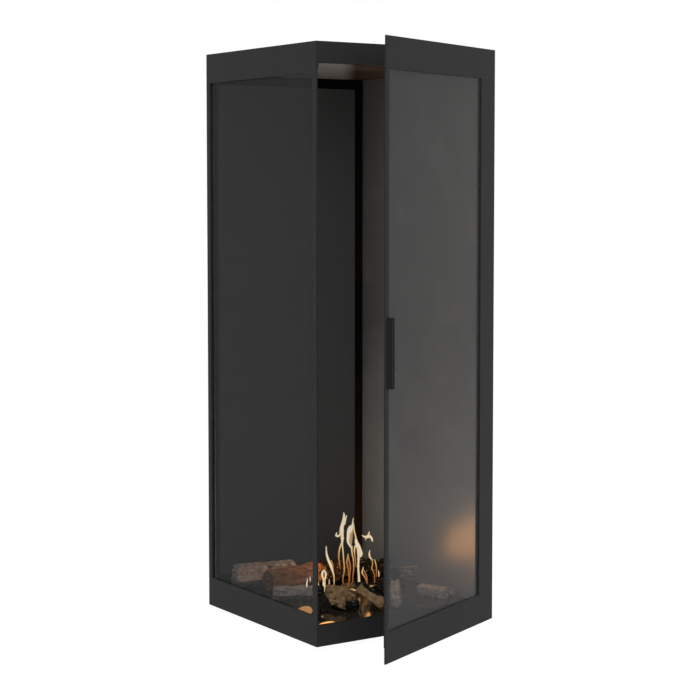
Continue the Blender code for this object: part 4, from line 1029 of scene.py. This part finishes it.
# %% Loft a flame
def loft_flame(name, tone, depth_squares, stations, extra):
    """A closed tongue along its path, wider by the skin's extra, with its heat stored on it."""
    path = flame_path(stations, depth_squares)
    bm = bmesh.new()
    heat = bm.verts.layers.float.new("glow_share")
    rings = []
    for k, (place, wide) in enumerate(path):
        ahead = path[min(k + 1, len(path) - 1)][0] - path[max(k - 1, 0)][0]
        turn = ahead.to_track_quat("Z", "Y").to_matrix().to_4x4()
        half = wide / 2 + extra
        size = Matrix.Diagonal((half, half * FLAME_DEPTH_SHARE, 1, 1))
        ring = bmesh.ops.create_circle(
            bm, segments=FLAME_SIDES, radius=1.0, matrix=Matrix.Translation(place) @ turn @ size
        )["verts"]
        for vert in ring:
            vert[heat] = tone[0] + (tone[1] - tone[0]) * k / (len(path) - 1)
        rings.append(list({edge for vert in ring for edge in vert.link_edges}))
    for low, high in zip(rings, rings[1:]):
        bmesh.ops.bridge_loops(bm, edges=low + high)
    for end in (rings[0], rings[-1]):
        bmesh.ops.contextual_create(bm, geom=end)
    bmesh.ops.recalc_face_normals(bm, faces=bm.faces)
    mesh = bpy.data.meshes.new(name)
    bm.to_mesh(mesh)
    bm.free()
    mesh.shade_smooth()
    made = bpy.data.objects.new(name, mesh)
    bpy.context.scene.collection.objects.link(made)
    return made


# %% [markdown]
# A flame gives its own light and mirrors none, so its base colour is black and its emission does the work.
# The stored heat picks the colour: brown-orange where soot cools, pale yellow in the middle, and bluish white
# where it is hottest. The skin and the veil are half clear and the core is nearly solid. The two flames at
# the far left are seen through the grey side pane, so they are made brighter.

# %% Flame glow
HEAT_COLOURS = [
    (0.0, "7a4020"),
    (0.25, "b06c34"),
    (0.5, "d2a868"),
    (0.7, "f8e4b0"),
    (0.87, "fffce4"),
    (1.0, "e0e5e4"),
]


def flame_finish(name, strength, alpha, warmer):
    """Glowing soot. A smaller value of warmer shifts the whole flame towards orange."""
    made, tree, shader = finish(name, Base_Color=(0, 0, 0, 1), Roughness=1.0, Specular_IOR_Level=0.0)
    heat = add(tree, "Attribute", attribute_name="glow_share").outputs["Fac"]
    cooled = add(tree, "Math", {0: heat, 1: warmer}, operation="MULTIPLY")
    ramp = add(tree, "ValToRGB", {"Fac": cooled.outputs[0]})
    stops = ramp.color_ramp.elements
    stops[0].color = linear(HEAT_COLOURS[0][1])
    stops[-1].color = linear(HEAT_COLOURS[-1][1])
    for place, colour in HEAT_COLOURS[1:-1]:
        stops.new(place).color = linear(colour)
    link(tree, ramp.outputs["Color"], shader, "Emission Color")
    shader.inputs["Emission Strength"].default_value = strength
    shader.inputs["Alpha"].default_value = alpha
    return made


FLAME_SKIN = flame_finish("flame_skin", strength=0.85, alpha=0.42, warmer=0.55)
FLAME_CORE = flame_finish("flame_core", strength=0.95, alpha=0.9, warmer=1.0)
FLAME_VEIL = flame_finish("flame_veil", strength=0.7, alpha=0.5, warmer=0.58)
FLAME_FAR = flame_finish("flame_far", strength=2.4, alpha=0.95, warmer=1.0)

# %% Make every flame
for name, (tone, depth_squares, stations) in FLAMES.items():
    parts = [("skin", SKIN, FLAME_SKIN), ("core", 0.0, FLAME_CORE)]
    if name.endswith("veil"):
        parts = [("sheet", 0.0, FLAME_VEIL)]
    if name.startswith("far_left"):
        parts = [("core", 0.0, FLAME_FAR)]
    for part, extra, material in parts:
        flame = loft_flame("flame_" + name + "_" + part, tone, depth_squares, stations, extra)
        flame.data.materials.append(material)
        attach(flame, "cabinet")
print("flames:", len(FLAMES))

# %% [markdown]
# ## The fire's light
#
# The tongues are too thin to light the firebox evenly by themselves. Three small warm lamps in the fire do
# what all of the glowing gas does together. They could light everything, but the satin walls would then be
# too pale, so light linking lets them light the logs, the hearth and the burner only. They can't be seen
# directly.

# %% Lamps in the fire
FIRE_COLOUR = "ffb05a"
FIRE_POWER = 0.42
FIRE_SOFTNESS = 20 * MM
FIRE_PLACES = ((-50 * MM, 0, 200 * MM), (12 * MM, -5 * MM, 240 * MM), (60 * MM, 0, 180 * MM))

for node in ("hearth_plate", "burner_cover", "burner_wool", "burner_tank"):
    LIT_BY_FIRE.objects.link(NODES[node])

for place in FIRE_PLACES:
    fire_data = bpy.data.lights.new("fire_light", "POINT")
    fire_data.color = linear(FIRE_COLOUR)[:3]
    fire_data.energy = FIRE_POWER
    fire_data.shadow_soft_size = FIRE_SOFTNESS
    fire = bpy.data.objects.new("fire_light", fire_data)
    fire.location = place
    fire.visible_camera = False
    fire.visible_glossy = False
    fire.light_linking.receiver_collection = LIT_BY_FIRE
    bpy.context.scene.collection.objects.link(fire)
print("fire lamps:", len(FIRE_PLACES), "of", FIRE_POWER, "W")

# %% [markdown]
# What the satin walls and the gloss hearth mirror is wider and softer than the thin tongues. So they get warm
# oval panels to mirror, which the camera doesn't see: one by the fire for the walls, and three for the gold
# patches on the hearth. Each panel is linked to its own walls or hearth. A row gives its place and its width
# and height in millimetres, and its power in watts.

# %% Panels for the glow
GLOW_COLOUR = "ffb765"
WALLS = ("firebox_right_wall", "firebox_rear_wall", "rear_liner")
HEARTH = ("hearth_plate",)
GLOWS = [
    ("wall_glow", WALLS, (-16, 10, 142), (190, 130), 0.165),
    ("right_hearth_glow", HEARTH, (88, 10, 152), (70, 74), 0.035),
    ("front_hearth_glow", HEARTH, (-205, -222, 70), (54, 18), 0.01),
    ("left_hearth_glow", HEARTH, (-165, -62, 75), (44, 26), 0.01),
]
FACING_FRONT = (-math.pi / 2, 0, 0)

for name, receivers, place, size, power in GLOWS:
    glow_data = bpy.data.lights.new(name, "AREA")
    glow_data.shape = "ELLIPSE"
    glow_data.size, glow_data.size_y = [side * MM for side in size]
    glow_data.color = linear(GLOW_COLOUR)[:3]
    glow_data.energy = power
    glow_lamp = bpy.data.objects.new(name, glow_data)
    glow_lamp.location = [value * MM for value in place]
    glow_lamp.rotation_euler = FACING_FRONT
    glow_lamp.visible_camera = False
    mirrors = bpy.data.collections.new(name + "_mirrors")
    for node in receivers:
        mirrors.objects.link(NODES[node])
    glow_lamp.light_linking.receiver_collection = mirrors
    bpy.context.scene.collection.objects.link(glow_lamp)
    print(name, "for", len(receivers), "pieces")
